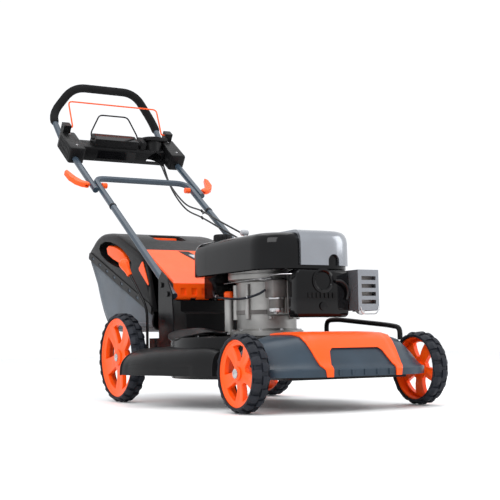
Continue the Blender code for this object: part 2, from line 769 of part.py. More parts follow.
def carburettor():
    side = -BLOCK_HALF - GAP
    carb = box("carburettor", (-0.096, -0.236, 0.290), (side, -0.194, 0.338), bevel=0.003)
    join(carb, rod("carb_bowl", 0.019, (-0.074, -0.215, 0.252), (-0.074, -0.215, 0.295), 20))
    finish(carb, "casting")
    route = [
        (-0.104, 0.080, 0.315), (-0.112, 0.060, 0.306), (-0.116, 0.000, 0.298), (-0.116, -0.100, 0.292),
        (-0.112, -0.180, 0.300), (-0.1002, -0.205, 0.312),
    ]
    finish(tube("fuel_hose", smooth_route(route, 16), 0.0035), "rubber")


def muffler():
    body = box("muffler", (0.1010, -0.336, 0.266), (0.158, -0.236, 0.356), bevel=0.008)
    finish(body, "steel")
    sheet = 0.002
    outer = [(0.0985, -0.228), (0.0985, -0.350), (0.166, -0.350), (0.166, -0.228)]
    inner = [(x + (sheet if x < 0.13 else -sheet), y + (sheet if y < -0.3 else 0)) for x, y in outer]
    guard = plate("muffler_guard", outer + inner[::-1], 0.252, CASE_TOP - 0.001)
    for row in range(4):
        z = 0.270 + 0.021 * row
        cut(guard, box("guard_slot", (0.110, -0.36, z), (0.156, -0.34, z + 0.010)))
    finish(guard, "silver", smooth=False)


def starter():
    """Pull grip in its rope guide on the housing's top; it tips back a little, like its rope."""
    tilt = radians(20)
    base = Vector((0.030, 0.118, HOUSING_TOP + GAP))
    body = empty("starter_slide", base, ROOT)
    profile = [
        (0, 0.052), (0.008, 0.052), (0.0125, 0.046), (0.0125, 0.020), (0.008, 0.014), (0.008, 0.003), (0, 0.003),
    ]
    grip = turned("starter_grip", profile, base, steps=16)
    grip.rotation_euler = (-tilt, 0, 0)
    finish(grip, "silver", body)


def crankshaft():
    low, high = PULLEY_Z
    groove = (BELT_Z[0] - 0.001, BELT_Z[1] + 0.001)
    profile = [
        (0, 0.412), (BORE_R + 0.003, 0.412), (BORE_R + 0.003, FLYWHEEL_BOTTOM), (SHAFT_R, FLYWHEEL_BOTTOM - GAP),
        (SHAFT_R, high), (PULLEY_R, high), (PULLEY_R, groove[1] + 0.001), (PULLEY_GROOVE_R, groove[1]),
        (PULLEY_GROOVE_R, groove[0]), (PULLEY_R, groove[0] - 0.001), (PULLEY_R, low), (0.014, low),
        (0.014, 0.130), (0.030, 0.128), (0.030, BLADE_Z[1] + GAP), (0.009, BLADE_Z[1] + GAP),
        (0.009, BLADE_Z[0] - GAP), (0.018, BLADE_Z[0] - GAP), (0.018, 0.1015), (0.012, 0.1010),
        (0.012, 0.096), (0, 0.096),
    ]
    shaft = turned("crankshaft", profile, (0, BLADE_Y, 0), steps=20)
    finish(shaft, "steel", CRANK_BODY)
    top, bottom = 0.404, FLYWHEEL_BOTTOM
    bore = BORE_R + 0.003 + PLAY
    profile = [
        (bore, top), (0.026, top), (0.034, bottom + 0.012), (FLYWHEEL_R - 0.010, bottom + 0.012),
        (FLYWHEEL_R - 0.010, top - 0.002), (FLYWHEEL_R, top - 0.002), (FLYWHEEL_R, bottom), (bore, bottom),
    ]
    finish(turned("flywheel", profile, (0, BLADE_Y, 0), steps=28), "casting", CRANK_BODY)


def blade():
    """Straight bar blade; its wings turn up behind the cutting ends."""
    half, tip = BLADE_HALF, BLADE_R
    outline = [
        (-tip, -half), (-tip + 0.075, -half), (-0.060, -half * 0.8), (0.060, -half * 0.8), (tip - 0.012, -half),
        (tip, half), (tip - 0.075, half), (0.060, half * 0.8), (-0.060, half * 0.8), (-tip + 0.012, half),
    ]
    hole = circle(0.009 + PLAY, steps=14)[::-1]
    bar = plate("blade", outline, *BLADE_Z, holes=(hole,))
    bar.location.y += BLADE_Y
    bar.location.z = (BLADE_Z[0] + BLADE_Z[1]) / 2
    finish(bar, "steel", CRANK_BODY, smooth=False)


def belt_outline(radius_a, radius_b, distance, steps=12):
    """Outline of a belt round two pulleys on the y axis, the first one at y = 0."""
    lean = atan2(radius_b - radius_a, sqrt(distance**2 - (radius_b - radius_a) ** 2))
    front = circle(radius_a, (0, 0), steps, pi - lean, 2 * pi + lean)
    rear = circle(radius_b, (0, distance), steps, lean, pi - lean)
    return front + rear


def drive_belt():
    distance = GEAR_PULLEY_Y - BLADE_Y
    inner = belt_outline(PULLEY_GROOVE_R + GAP, GEAR_GROOVE_R + GAP, distance)
    outer = belt_outline(PULLEY_GROOVE_R + GAP + BELT_T, GEAR_GROOVE_R + GAP + BELT_T, distance)
    belt = plate("drive_belt", outer, *BELT_Z, holes=(inner,))
    belt.location.y += BLADE_Y
    finish(belt, "rubber")


# ---------------------------------------------------------------- running gear
def carriage(name, pivot, track, half, body, stub):
    """Cross tube with two trailing arms, a crank for the link rod and, in front, the stub axles."""
    y, z = pivot
    inner = half + 0.004
    frame = rod(name, CROSS_TUBE_R, (-inner - 0.002, y, z), (inner + 0.002, y, z), 16)
    for side in (-1, 1):
        low, high = sorted((side * inner, side * (inner + ARM_PLATE)))
        arm = circle(0.013, (y, z), 8, 0.5 * pi, 1.5 * pi) + circle(0.013, (y + ARM, z), 8, -0.5 * pi, 0.5 * pi)
        join(frame, plate(name + "_arm", arm, low, high, "x"))
        if stub:
            face = side * (track - 0.002)
            join(
                frame,
                rod(name + "_stub", STUB_R, (side * inner, y + ARM, z), (face, y + ARM, z), 16),
                rod(name + "_cap", 0.012, (side * (track - 0.007), y + ARM, z), (face, y + ARM, z), 12),
            )
        else:
            bore = rod(
                name + "_bearing", REAR_AXLE_R + PLAY, (low - 0.01, y + ARM, z), (high + 0.01, y + ARM, z), 16
            )
            cut(frame, bore)
    crank = [
        (y - 0.006, z), (y + 0.006, z), (y + 0.006, z + CRANK + 0.003),
        (y + 0.003, z + CRANK + 0.006), (y - 0.003, z + CRANK + 0.006), (y - 0.006, z + CRANK + 0.003),
    ]
    join(frame, plate(name + "_crank", crank, LINK_X, LINK_X + 0.005, "x"))
    pin = (y, z + CRANK)
    cut(frame, rod(name + "_pin_hole", LINK_R + PLAY, (LINK_X - 0.01, *pin), (LINK_X + 0.015, *pin), 10))
    finish(frame, "steel", body)


def height_link():
    """Rod between the two cranks; each end is bent into its crank."""
    rear = (REAR_PIVOT[0], REAR_PIVOT[1] + CRANK)
    front = (FRONT_PIVOT[0], FRONT_PIVOT[1] + CRANK)
    inside, outside = LINK_X - 0.004, LINK_X + 0.005 + 2 * LINK_R + 0.003
    route = [(inside, *rear), (outside, *rear), (outside, *front), (inside, *front)]
    finish(tube("height_link", rounded(route, 0.005, 3), LINK_R), "steel", LINK_BODY)


def height_lever():
    """Lever bolted to the right-hand arm, with its fluted knob."""
    radius = 0.0045
    x = -(TAIL_HALF + 0.004 + ARM_PLATE + radius + GAP)
    y, z = REAR_PIVOT
    knee, top = Vector((x, y, 0.280)), Vector((-0.230, y + 0.062, 0.384))
    lever = tube("height_lever", rounded([(x, y, z), knee, top], 0.03), radius)
    finish(lever, "black", REAR_CARRIER)
    lean = (top - knee).normalized()
    profile = [
        (0, 0.058), (0.010, 0.056), (0.0165, 0.045), (0.0165, 0.034), (0.011, 0.016), (0.0075, 0.010),
        (0.0075, GAP), (0, GAP),
    ]
    knob = turned("height_knob", profile, top, steps=18)
    knob.rotation_euler = lean.to_track_quat("Z", "Y").to_euler()
    finish(knob, "orange", REAR_CARRIER)


def gearbox():
    case = box("gearbox", (-0.040, 0.340, 0.105), (0.040, 0.416, 0.1610), bevel=0.006)
    axle = (REAR_Y, REAR_WHEEL_R)
    cut(
        case,
        rod("axle_tunnel", REAR_AXLE_R + PLAY, (-0.06, *axle), (0.06, *axle), 16),
        rod("tube_relief", CROSS_TUBE_R + 0.001, (-0.06, *REAR_PIVOT), (0.06, *REAR_PIVOT), 16),
    )
    finish(case, "casting", REAR_CARRIER)
    top, bottom = BELT_Z[1] + 0.0045, 0.1610 + GAP
    profile = [
        (0, top), (GEAR_PULLEY_R, top), (GEAR_PULLEY_R, BELT_Z[1] + 0.002), (GEAR_GROOVE_R, BELT_Z[1] + 0.001),
        (GEAR_GROOVE_R, BELT_Z[0] - 0.001), (GEAR_PULLEY_R, BELT_Z[0] - 0.002), (GEAR_PULLEY_R, bottom + 0.001),
        (0.010, bottom + 0.001), (0.010, bottom), (0, bottom),
    ]
    finish(turned("gearbox_pulley", profile, (0, GEAR_PULLEY_Y, 0), steps=20), "steel", PULLEY_BODY)
    reach = REAR_TRACK_FACE - 0.003
    profile = [
        (0, reach), (0.012, reach), (0.012, reach - 0.004), (REAR_AXLE_R, reach - 0.004),
        (REAR_AXLE_R, -reach + 0.004), (0.012, -reach + 0.004), (0.012, -reach), (0, -reach),
    ]
    finish(turned("rear_axle", profile, (0, *axle), "x", 16), "steel", AXLE_BODY)


def window(inner, outer, middle, spread):
    """One opening between two spokes, as a rounded trapezoid."""
    foot = circle(inner, (0, 0), 2, middle - spread * 0.45, middle + spread * 0.45)
    rim = circle(outer, (0, 0), 4, middle - spread, middle + spread)
    return foot + rim[::-1]


def wheel(name, radius, rim_r, face, side, at, carrier, bore):
    """A lugged tyre's outer form on a five-spoke rim."""
    middle = side * (face - TYRE_WIDTH / 2)
    centre = (middle, *at)
    body = empty(name + "_axis", centre, carrier)
    half = TYRE_WIDTH / 2
    seat = rim_r + GAP
    profile = [
        (seat, half - 0.006), (radius - 0.012, half - 0.001), (radius - 0.003, half - 0.005), (radius, half - 0.012),
        (radius, -half + 0.012), (radius - 0.003, -half + 0.005), (radius - 0.012, -half + 0.001),
        (seat, -half + 0.006),
    ]
    tyre = turned(name + "_tyre", profile, centre, "x", 32)
    finish(tyre, "rubber", body)
    pitch = 2 * pi / 5
    windows = [window(rim_r * 0.50, rim_r * 0.86, pitch * k + pi / 2, 0.36) for k in range(5)]
    shaft = circle(bore, steps=14)[::-1]
    low, high = middle - half + 0.008, middle + half - 0.008
    rim = plate(name + "_rim", circle(rim_r, steps=32), low, high, "x", holes=(shaft, *windows))
    rim.location = ((low + high) / 2, *at)
    finish(rim, "orange", body)


# ---------------------------------------------------------------- handle
def lower_handle():
    """One tube bent into a U; its feet swing on the bracket studs."""
    foot, side_top = -0.012, LOWER_TOP_S
    route = [
        along(foot, 0, -LOWER_X), along(side_top, 0, -LOWER_X), along(side_top, 0, LOWER_X),
        along(foot, 0, LOWER_X),
    ]
    handle = to_mesh(tube("lower_handle", rounded(route, LOWER_BEND, 6), TUBE_R))
    cut(handle, *clamp_holes("lower"), rod("fold_holes", STUD_R + PLAY, (-0.3, *PIVOT), (0.3, *PIVOT), 12))
    finish(handle, "slate", LOWER_BODY)


def clamp_holes(name):
    joint = along(JOINT_S)
    return (rod(name + "_clamp_holes", CLAMP_R + PLAY, (-0.3, *joint[1:]), (0.3, *joint[1:]), 12),)


def grip_route():
    """Route of the upper tube: up both sides, then over the loop."""
    shoulder, corner = Vector(GRIP_SHOULDER), Vector(GRIP_CORNER)
    flip = Vector((-1, 1, 1))
    right = [along(UPPER_START_S, 0, -UPPER_X), along(UPPER_BEND_S, 0, -UPPER_X), shoulder * flip, corner * flip]
    left = [corner, shoulder, along(UPPER_BEND_S, 0, UPPER_X), along(UPPER_START_S, 0, UPPER_X)]
    return rounded(right + left, [0.014, 0.050, 0.050, 0.050, 0.050, 0.014], 5)


def upper_handle():
    route = grip_route()
    handle = to_mesh(tube("upper_handle", route, TUBE_R))
    cut(handle, *clamp_holes("upper"))
    finish(handle, "slate", UPPER_BODY)
    held = [place for place in route if place.z > 0.985]
    sleeve = to_mesh(tube("hand_grip", held, FOAM_R))
    core = to_mesh(tube("grip_core", route, TUBE_R + GAP))
    cut(sleeve, core)
    finish(sleeve, "foam", UPPER_BODY)


def console():
    """Moulded beam between two pods that clamp the upper tubes."""
    beam = box(
        "console", (-POD_X[0] - 0.004, CONSOLE_S[0], CONSOLE_N[0]), (POD_X[0] + 0.004, CONSOLE_S[1], CONSOLE_N[1]),
        bevel=0.008,
    )
    in_handle_frame(beam)
    pieces = [
        box("raised_right", (-0.115, 0.952, 0.020), (0.055, 1.002, 0.056)),
        box("raised_left", (0.067, 0.952, 0.020), (0.086, 1.002, 0.056)),
    ]
    for side in (-1, 1):
        low, high = sorted((side * POD_X[0], side * POD_X[1]))
        pieces.append(box("pod", (low, POD_S[0], POD_N[0]), (high, POD_S[1], POD_N[1]), bevel=0.008))
        low, high = sorted((side * 0.188, side * 0.216))
        pieces.append(box("bail_ear", (low, 1.020, POD_N[1] - 0.01), (high, 1.0495, 0.070)))
    join(beam, *[in_handle_frame(piece) for piece in pieces])
    x, y = CUP_AT
    join(beam, box("cup_deck", (x - 0.043, y - 0.043, 0.924), (0.175, y + 0.043, CUP_Z[1] - GAP), bevel=0.003))
    stop, drive = along(*STOP_BAIL_AT), along(*DRIVE_BAIL_AT)
    bore = WIRE_R + PLAY
    cut(
        beam,
        rod("cup_hole", CUP_R + PLAY, (x, y, 0.85), (x, y, 1.1), 24),
        rod("stop_bore", bore, (-0.24, *stop[1:]), (0.24, *stop[1:]), 12),
        rod("drive_bore_right", bore, (-0.14, *drive[1:]), (DRIVE_BAIL_X[0] + 0.024, *drive[1:]), 12),
        rod("drive_bore_left", bore, (DRIVE_BAIL_X[1] - 0.024, *drive[1:]), (0.075, *drive[1:]), 12),
    )
    for side in (-1, 1):
        bore_at = [along(s, 0, side * UPPER_X) for s in (POD_S[0] - 0.03, POD_S[1] + 0.03)]
        cut(beam, rod("tube_bore", TUBE_R + PLAY, *bore_at, 16))
    finish(beam, "black", UPPER_BODY)

    rim = CUP_R + 0.004
    low, high = CUP_Z
    profile = [
        (CUP_R - WALL, high + 0.003), (rim, high + 0.003), (rim, high), (CUP_R, high), (CUP_R, low), (0, low),
        (0, low + WALL), (CUP_R - WALL, low + WALL),
    ]
    finish(cup_solid(profile, (x, y, 0)), "black", UPPER_BODY)


def cup_solid(profile, at):
    """A turned cup: its profile is closed along the axis by the screw's merged points."""
    start = profile[6:] + profile[:6]
    return turned("cup_holder", start, at, steps=24)


def bails():
    joint = along(*STOP_BAIL_AT)
    up = Vector((0, *STOP_BAIL_REACH))
    x, into = STOP_BAIL_X, 0.032
    route = [
        joint + Vector((-x - into, 0, 0)), joint + Vector((-x, 0, 0)), joint + up + Vector((-x, 0, 0)),
        joint + up + Vector((x, 0, 0)), joint + Vector((x, 0, 0)), joint + Vector((x + into, 0, 0)),
    ]
    bends = [0.008, 0.016, 0.016, 0.008]
    finish(tube("stop_bail", rounded(route, bends), WIRE_R, at=joint), "orange", STOP_BODY)
    joint = along(*DRIVE_BAIL_AT)
    up = Vector((0, *DRIVE_BAIL_REACH))
    right, left = DRIVE_BAIL_X
    into, lean = 0.018, Vector((0.042, 0, 0))
    low = up * 0.25
    route = [
        joint + Vector((right + into, 0, 0)), joint + Vector((right, 0, 0)), joint + Vector((right, 0, 0)) + low,
        joint + Vector((right, 0, 0)) + up + lean, joint + Vector((left, 0, 0)) + up - lean * 0.7,
        joint + Vector((left, 0, 0)) + low, joint + Vector((left, 0, 0)), joint + Vector((left - into, 0, 0)),
    ]
    bends = [0.005, 0.014, 0.014, 0.014, 0.014, 0.005]
    finish(tube("drive_bail", rounded(route, bends), WIRE_R, at=joint), "black", DRIVE_BODY)


def clamp(name, side):
    """Quick-release clamp: a bolt with its nut, and the cam lever on the bolt's outer end."""
    joint = along(JOINT_S)
    outer = UPPER_X + TUBE_R
    hub = outer + 0.0098
    inner = LOWER_X - TUBE_R - PLAY
    bolt = rod("clamp_bolt_" + name, CLAMP_R, (side * (inner - 0.002), *joint[1:]), (side * (hub - 0.001), *joint[1:]))
    nut = rod("clamp_nut_" + name, 0.010, (side * (inner - 0.018), *joint[1:]), (side * inner, *joint[1:]), 12)
    finish(join(bolt, nut), "orange", UPPER_BODY)
    axis = empty("cam_axis_" + name, (side * hub, *joint[1:]), UPPER_BODY)
    outline = circle(0.0085, (0, 0), 8, 0.75 * pi, 1.72 * pi) + [
        (0.018, -0.004), (0.038, 0.012), (0.052, 0.042), (0.055, 0.082),
        (0.044, 0.094), (0.036, 0.070), (0.026, 0.040), (0.012, 0.018),
    ]
    lever = plate("cam_lever_" + name, [(side * px, py) for px, py in outline][::side], -0.009, 0.009, bevel=0.002)
    lever.rotation_euler = (HANDLE_ANGLE, 0, 0)
    lever.location = (side * hub, *joint[1:])
    wide, out, turned_by = CLAMP_R + 0.0006, 0.030, 1.61 * pi
    near = (wide * cos(turned_by + pi / 2), wide * sin(turned_by + pi / 2))
    fan = [
        (-out, wide), (0, wide), (wide * 0.7, wide * 0.75), near,
        (near[0] + out * cos(turned_by), near[1] + out * sin(turned_by)), (-out, -out),
    ]
    slot = plate("clamp_slot", [(side * px, py) for px, py in fan][::-side], -wide, wide)
    slot.rotation_euler = (HANDLE_ANGLE, 0, 0)
    slot.location = (side * hub, *joint[1:])
    finish(cut(lever, slot), "orange", axis)


def cables():
    """The two control cables, held at the console, under the cross tube and at their far ends."""
    stop = [
        along(0.9442, -0.012, 0.150), along(0.915, -0.014, 0.149), (0.148, 0.880, 0.750), (0.154, 0.770, 0.668),
        (0.152, 0.640, 0.628), (0.146, 0.500, 0.575), (0.150, 0.340, 0.505), (0.160, 0.200, 0.440),
        (0.160, 0.090, 0.405), (0.1484, 0.010, 0.395),
    ]
    finish(tube("stop_cable", smooth_route(stop, 56), 0.003), "rubber")
    drive = [
        along(0.9442, -0.012, 0.160), along(0.915, -0.016, 0.159), (0.157, 0.885, 0.735), (0.160, 0.780, 0.652),
        (0.158, 0.650, 0.606), (0.156, 0.520, 0.558), (0.182, 0.380, 0.490), (0.213, 0.300, 0.400),
        (0.214, 0.300, 0.290), (0.214, 0.345, 0.205), (0.185, 0.372, 0.178), (0.110, 0.378, 0.176),
        (0.062, 0.391, 0.1502), (0.0407, 0.392, 0.150),
    ]
    finish(tube("drive_cable", smooth_route(drive, 72), 0.003), "rubber")


# ---------------------------------------------------------------- assembly
def settle_on_floor():
    """Moves the whole machine so that its bounding box's bottom centre is the origin."""
    bpy.context.view_layer.update()
    graph = bpy.context.evaluated_depsgraph_get()
    low, high = Vector((9, 9, 9)), Vector((-9, -9, -9))
    for obj in PARTS.objects:
        if obj.type == "EMPTY":
            continue
        shown = obj.evaluated_get(graph)
        mesh = shown.to_mesh()
        for vertex in mesh.vertices:
            place = shown.matrix_world @ vertex.co
            low = Vector(map(min, low, place))
            high = Vector(map(max, high, place))
        shown.to_mesh_clear()
    ROOT.location = (-(low.x + high.x) / 2, -(low.y + high.y) / 2, -low.z)
    print("machine frame moved by", tuple(round(value, 5) for value in ROOT.location))


deck_shell()
front_cover()
carry_rail()
handle_bracket("handle_bracket_right", -1)
handle_bracket("handle_bracket_left", 1)
discharge_tunnel()
rear_flap()
bag()
side_flap()
side_chute()
crankcase()
cylinder()
blower_housing()
carburettor()
muffler()
starter()
crankshaft()
blade()
drive_belt()
carriage("front_carriage", FRONT_PIVOT, FRONT_TRACK_FACE, TONGUE_HALF, FRONT_CARRIER, True)
carriage("rear_carriage", REAR_PIVOT, REAR_TRACK_FACE, TAIL_HALF, REAR_CARRIER, False)
height_link()
height_lever()
gearbox()
for end, radius, rim_r, face, at, carrier, bore in (
    ("front", FRONT_WHEEL_R, FRONT_RIM_R, FRONT_TRACK_FACE, (FRONT_Y, FRONT_WHEEL_R), FRONT_CARRIER, STUB_R),
    ("rear", REAR_WHEEL_R, REAR_RIM_R, REAR_TRACK_FACE, (REAR_Y, REAR_WHEEL_R), AXLE_BODY, REAR_AXLE_R),
):
    for side, word in ((-1, "right"), (1, "left")):
        wheel(f"{end}_{word}", radius, rim_r, face, side, at, carrier, bore + PLAY)
lower_handle()
upper_handle()
console()
bails()
clamp("right", -1)
clamp("left", 1)
cables()
settle_on_floor()
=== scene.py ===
# %% [markdown]
# # A walk-behind petrol mower, dressed for a studio picture
# The solid model already holds every plate, tube, shaft and wheel in its true place and at its true size.
# This script adds what a maker would see and touch: moulded plastic, lugged tyres, a sewn grass bag,
# cables and small fittings. It first loads the solids as a frame that never moves. Every new piece but
# the cables is then tied to the body that carries it.

# %% Load the frame
import random
from math import atan2, cos, hypot, pi, radians, sin, sqrt
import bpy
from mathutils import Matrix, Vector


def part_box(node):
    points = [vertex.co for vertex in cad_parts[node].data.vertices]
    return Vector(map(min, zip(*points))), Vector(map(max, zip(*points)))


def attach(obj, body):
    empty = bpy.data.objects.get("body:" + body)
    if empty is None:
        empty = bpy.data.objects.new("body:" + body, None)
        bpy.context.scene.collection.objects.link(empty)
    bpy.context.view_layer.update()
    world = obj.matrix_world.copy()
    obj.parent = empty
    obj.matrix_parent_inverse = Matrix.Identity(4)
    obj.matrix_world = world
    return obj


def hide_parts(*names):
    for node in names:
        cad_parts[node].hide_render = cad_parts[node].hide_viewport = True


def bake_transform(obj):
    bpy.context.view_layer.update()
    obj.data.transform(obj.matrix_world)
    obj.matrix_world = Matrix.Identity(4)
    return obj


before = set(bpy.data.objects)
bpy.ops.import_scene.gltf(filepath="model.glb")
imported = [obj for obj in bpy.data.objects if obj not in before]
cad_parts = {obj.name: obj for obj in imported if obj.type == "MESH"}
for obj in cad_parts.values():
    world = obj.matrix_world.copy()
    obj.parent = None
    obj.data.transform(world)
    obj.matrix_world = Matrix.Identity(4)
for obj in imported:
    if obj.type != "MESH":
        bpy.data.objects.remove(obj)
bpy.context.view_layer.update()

# %% [markdown]
# ## One origin for every piece
# The machine is easiest to measure from its own centre line, with zero half way between the axles. The
# solid model sits with its bounding box centred on the origin instead. The crankshaft is a landmark that
# both systems share, so the shift between them is read from its box and nothing has to be fitted by eye.

# %% The shift from machine measurements to the frame
import bmesh
import bpy
from mathutils import Matrix, Vector

shaft_low, shaft_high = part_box("crankshaft")
SHIFT = Vector(((shaft_low.x + shaft_high.x) / 2, (shaft_low.y + shaft_high.y) / 2 + 0.040, 0))
print("machine to frame shift", tuple(round(value, 4) for value in SHIFT))

# %% [markdown]
# ## Camera
# A long lens from a low stand keeps the wheels upright and the handle tall. The camera is placed by its
# position and its three directions, because that is exact and needs no aiming object.

# %% Camera on its stand
RIGHT = Vector((0.86688, -0.49823, -0.01671))
UP = Vector((-0.02669, -0.07986, 0.99645))
FORWARD = Vector((0.49779, 0.86336, 0.08253))
camera = bpy.data.objects.new("camera", bpy.data.cameras.new("camera"))
bpy.context.scene.collection.objects.link(camera)
turn = Matrix((RIGHT, UP, -FORWARD)).transposed().to_4x4()
camera.matrix_world = Matrix.Translation(Vector((-1.6148, -2.7527, 0.1735)) + SHIFT) @ turn
camera.data.lens = 80.08
camera.data.sensor_width = 36
camera.data.clip_end = 60
bpy.context.scene.camera = camera
print("camera at", tuple(round(value, 3) for value in camera.location))

# %% [markdown]
# ## Studio
# A white sweep of floor and three large soft lamps show form without hard shadows. The world adds a
# gentle fill, so that black plastic still reads as a shape. Glossy parts need something bright to
# mirror, which is why the lamps are wide sheets and not points.

# %% Floor and lamps
floor_mesh = bpy.data.meshes.new("floor")
floor_mesh.from_pydata([(-9, -9, 0), (9, -9, 0), (9, 12, 0), (-9, 12, 0)], [], [(0, 1, 2, 3)])
floor = bpy.data.objects.new("floor", floor_mesh)
bpy.context.scene.collection.objects.link(floor)
floor.location.z = -0.0005

world = bpy.data.worlds.new("studio")
bpy.context.scene.world = world
world.use_nodes = True
world.node_tree.nodes["Background"].inputs["Color"].default_value = (0.97, 0.98, 1.0, 1)
world.node_tree.nodes["Background"].inputs["Strength"].default_value = 1.08


def lamp(name, place, target, size, power):
    """A square soft lamp that faces a point."""
    light = bpy.data.lights.new(name, "AREA")
    light.size = size
    light.energy = power
    obj = bpy.data.objects.new(name, light)
    obj.location = place
    obj.rotation_euler = (Vector(target) - Vector(place)).to_track_quat("-Z", "Y").to_euler()
    bpy.context.scene.collection.objects.link(obj)
    return obj


lamp("key", (-2.6, -2.2, 3.2), (0, 0, 0.3), 2.2, 78)
lamp("top", (0.3, 0.6, 3.6), (0, 0, 0.3), 2.6, 42)
lamp("side", (2.8, -1.6, 1.6), (0, 0, 0.3), 1.6, 22)
bpy.context.scene.view_settings.view_transform = "Standard"
print("studio has", len(bpy.data.lights), "lamps")

# %% [markdown]
# ## Finishes
# Each finish is a small node tree. One noise breaks up the colour, as handling and moulding do. A second
# changes the roughness in soft patches. A third is the grain, fed to a bump. Values that are the same
# all over, such as metalness and coat, are set straight on the shader.

# %% A finish with colour drift, patchy gloss and a grain
def finish(name, colour, rough, metal=0.0, drift=0.12, patch=0.08, grain=(900, 0.12), coat=0.0,
    stretch=(1, 1, 1), shine=0.5):
    """A material; drift and patch are how far colour and roughness stray, grain is its (scale, strength)."""
    made = bpy.data.materials.new(name)
    made.use_nodes = True
    tree = made.node_tree
    shader = tree.nodes["Principled BSDF"]
    shader.inputs["Metallic"].default_value = metal
    shader.inputs["Coat Weight"].default_value = coat
    shader.inputs["Specular IOR Level"].default_value = shine
    shader.inputs["Coat Roughness"].default_value = 0.08
    place = tree.nodes.new("ShaderNodeTexCoord")
    spread = tree.nodes.new("ShaderNodeMapping")
    spread.inputs["Scale"].default_value = stretch
    tree.links.new(place.outputs["Object"], spread.inputs["Vector"])

    def noise(scale, detail):
        node = tree.nodes.new("ShaderNodeTexNoise")
        node.inputs["Scale"].default_value = scale
        node.inputs["Detail"].default_value = detail
        tree.links.new(spread.outputs["Vector"], node.inputs["Vector"])
        return node

    ramp = tree.nodes.new("ShaderNodeValToRGB")
    ramp.color_ramp.elements[0].position = 0.30
    ramp.color_ramp.elements[1].position = 0.72
    ramp.color_ramp.elements[0].color = (*[value * (1 - drift) for value in colour], 1)
    ramp.color_ramp.elements[1].color = (*[min(1, value * (1 + drift)) for value in colour], 1)
    tree.links.new(noise(14, 5).outputs["Fac"], ramp.inputs["Fac"])
    tree.links.new(ramp.outputs["Color"], shader.inputs["Base Color"])
    gloss = tree.nodes.new("ShaderNodeMapRange")
    gloss.inputs["To Min"].default_value = max(0.02, rough - patch)
    gloss.inputs["To Max"].default_value = min(1, rough + patch)
    tree.links.new(noise(32, 4).outputs["Fac"], gloss.inputs["Value"])
    tree.links.new(gloss.outputs["Result"], shader.inputs["Roughness"])
    bump = tree.nodes.new("ShaderNodeBump")
    bump.inputs["Strength"].default_value = grain[1]
    bump.inputs["Distance"].default_value = 0.001
    tree.links.new(noise(grain[0], 3).outputs["Fac"], bump.inputs["Height"])
    tree.links.new(bump.outputs["Normal"], shader.inputs["Normal"])
    return made


ORANGE = finish("orange_moulding", (0.96, 0.090, 0.002), 0.36, drift=0.04, grain=(1400, 0.05), shine=0.35)
BLACK = finish("grained_black", (0.0055, 0.0055, 0.006), 0.36, grain=(1500, 0.18), shine=0.14)
GLOSS = finish("gloss_black", (0.003, 0.003, 0.0035), 0.09, drift=0.3, patch=0.03, grain=(60, 0.01), shine=0.20)
DECK = finish("deck_paint", (0.005, 0.005, 0.0055), 0.24, drift=0.3, patch=0.06, grain=(220, 0.05), shine=0.16)
SLATE = finish("slate_moulding", (0.028, 0.044, 0.062), 0.34, grain=(1500, 0.10), shine=0.25)
TUBE = finish("slate_paint", (0.034, 0.052, 0.072), 0.34, grain=(260, 0.05), shine=0.4)
SILVER = finish("silver_lacquer", (0.27, 0.285, 0.31), 0.24, metal=0.75, drift=0.05, patch=0.03,
    grain=(2500, 0.03), coat=0.4)
CAST = finish("cast_aluminium", (0.34, 0.335, 0.325), 0.40, metal=0.9, drift=0.25, patch=0.12,
    grain=(420, 0.55))
# Painted shade: a darker, brownish copy of the cast aluminium that stands in for the shade between the engine's
# parts.
SHADED_CAST = finish("cast_with_painted_shade", (0.16, 0.15, 0.145), 0.45, metal=0.75, drift=0.3, patch=0.12,
    grain=(420, 0.55))
STEEL = finish("drawn_steel", (0.50, 0.50, 0.51), 0.28, metal=1.0, drift=0.15, grain=(300, 0.12),
    stretch=(1, 1, 8))
RUBBER = finish("tyre_rubber", (0.013, 0.015, 0.021), 0.60, drift=0.25, grain=(700, 0.35), shine=0.22)
SHEATH = finish("cable_sheath", (0.006, 0.006, 0.0065), 0.35, grain=(900, 0.08), shine=0.35)
FOAM = finish("grip_foam", (0.009, 0.009, 0.0095), 0.85, drift=0.3, grain=(1300, 0.7), shine=0.12)
PALE = finish("pale_plastic", (0.42, 0.43, 0.45), 0.35, grain=(900, 0.08))
STONE = finish("studio_floor", (0.93, 0.93, 0.93), 0.55, drift=0.01, grain=(200, 0.02))
floor.data.materials.append(STONE)
print("made", len(bpy.data.materials), "finishes")

# %% [markdown]
# ## Woven bag cloth
# The sack is a coarse coated polyester. Its threads run over and under each other, so the height is the
# product of two sine bands at right angles. A broad noise on top gives the slight fading of cloth that
# has been out in the sun.

# %% The weave
CLOTH = finish("woven_cloth", (0.042, 0.060, 0.080), 0.72, drift=0.22, patch=0.10, grain=(260, 0.25))
weave_tree = CLOTH.node_tree
weave_shader = weave_tree.nodes["Principled BSDF"]
weave_shader.inputs["Sheen Weight"].default_value = 0.25
weave_place = weave_tree.nodes.new("ShaderNodeTexCoord")


def threads(direction):
    """One set of parallel threads."""
    band = weave_tree.nodes.new("ShaderNodeTexWave")
    band.bands_direction = direction
    band.inputs["Scale"].default_value = 160
    band.inputs["Distortion"].default_value = 0.6
    weave_tree.links.new(weave_place.outputs["Object"], band.inputs["Vector"])
    return band.outputs["Fac"]


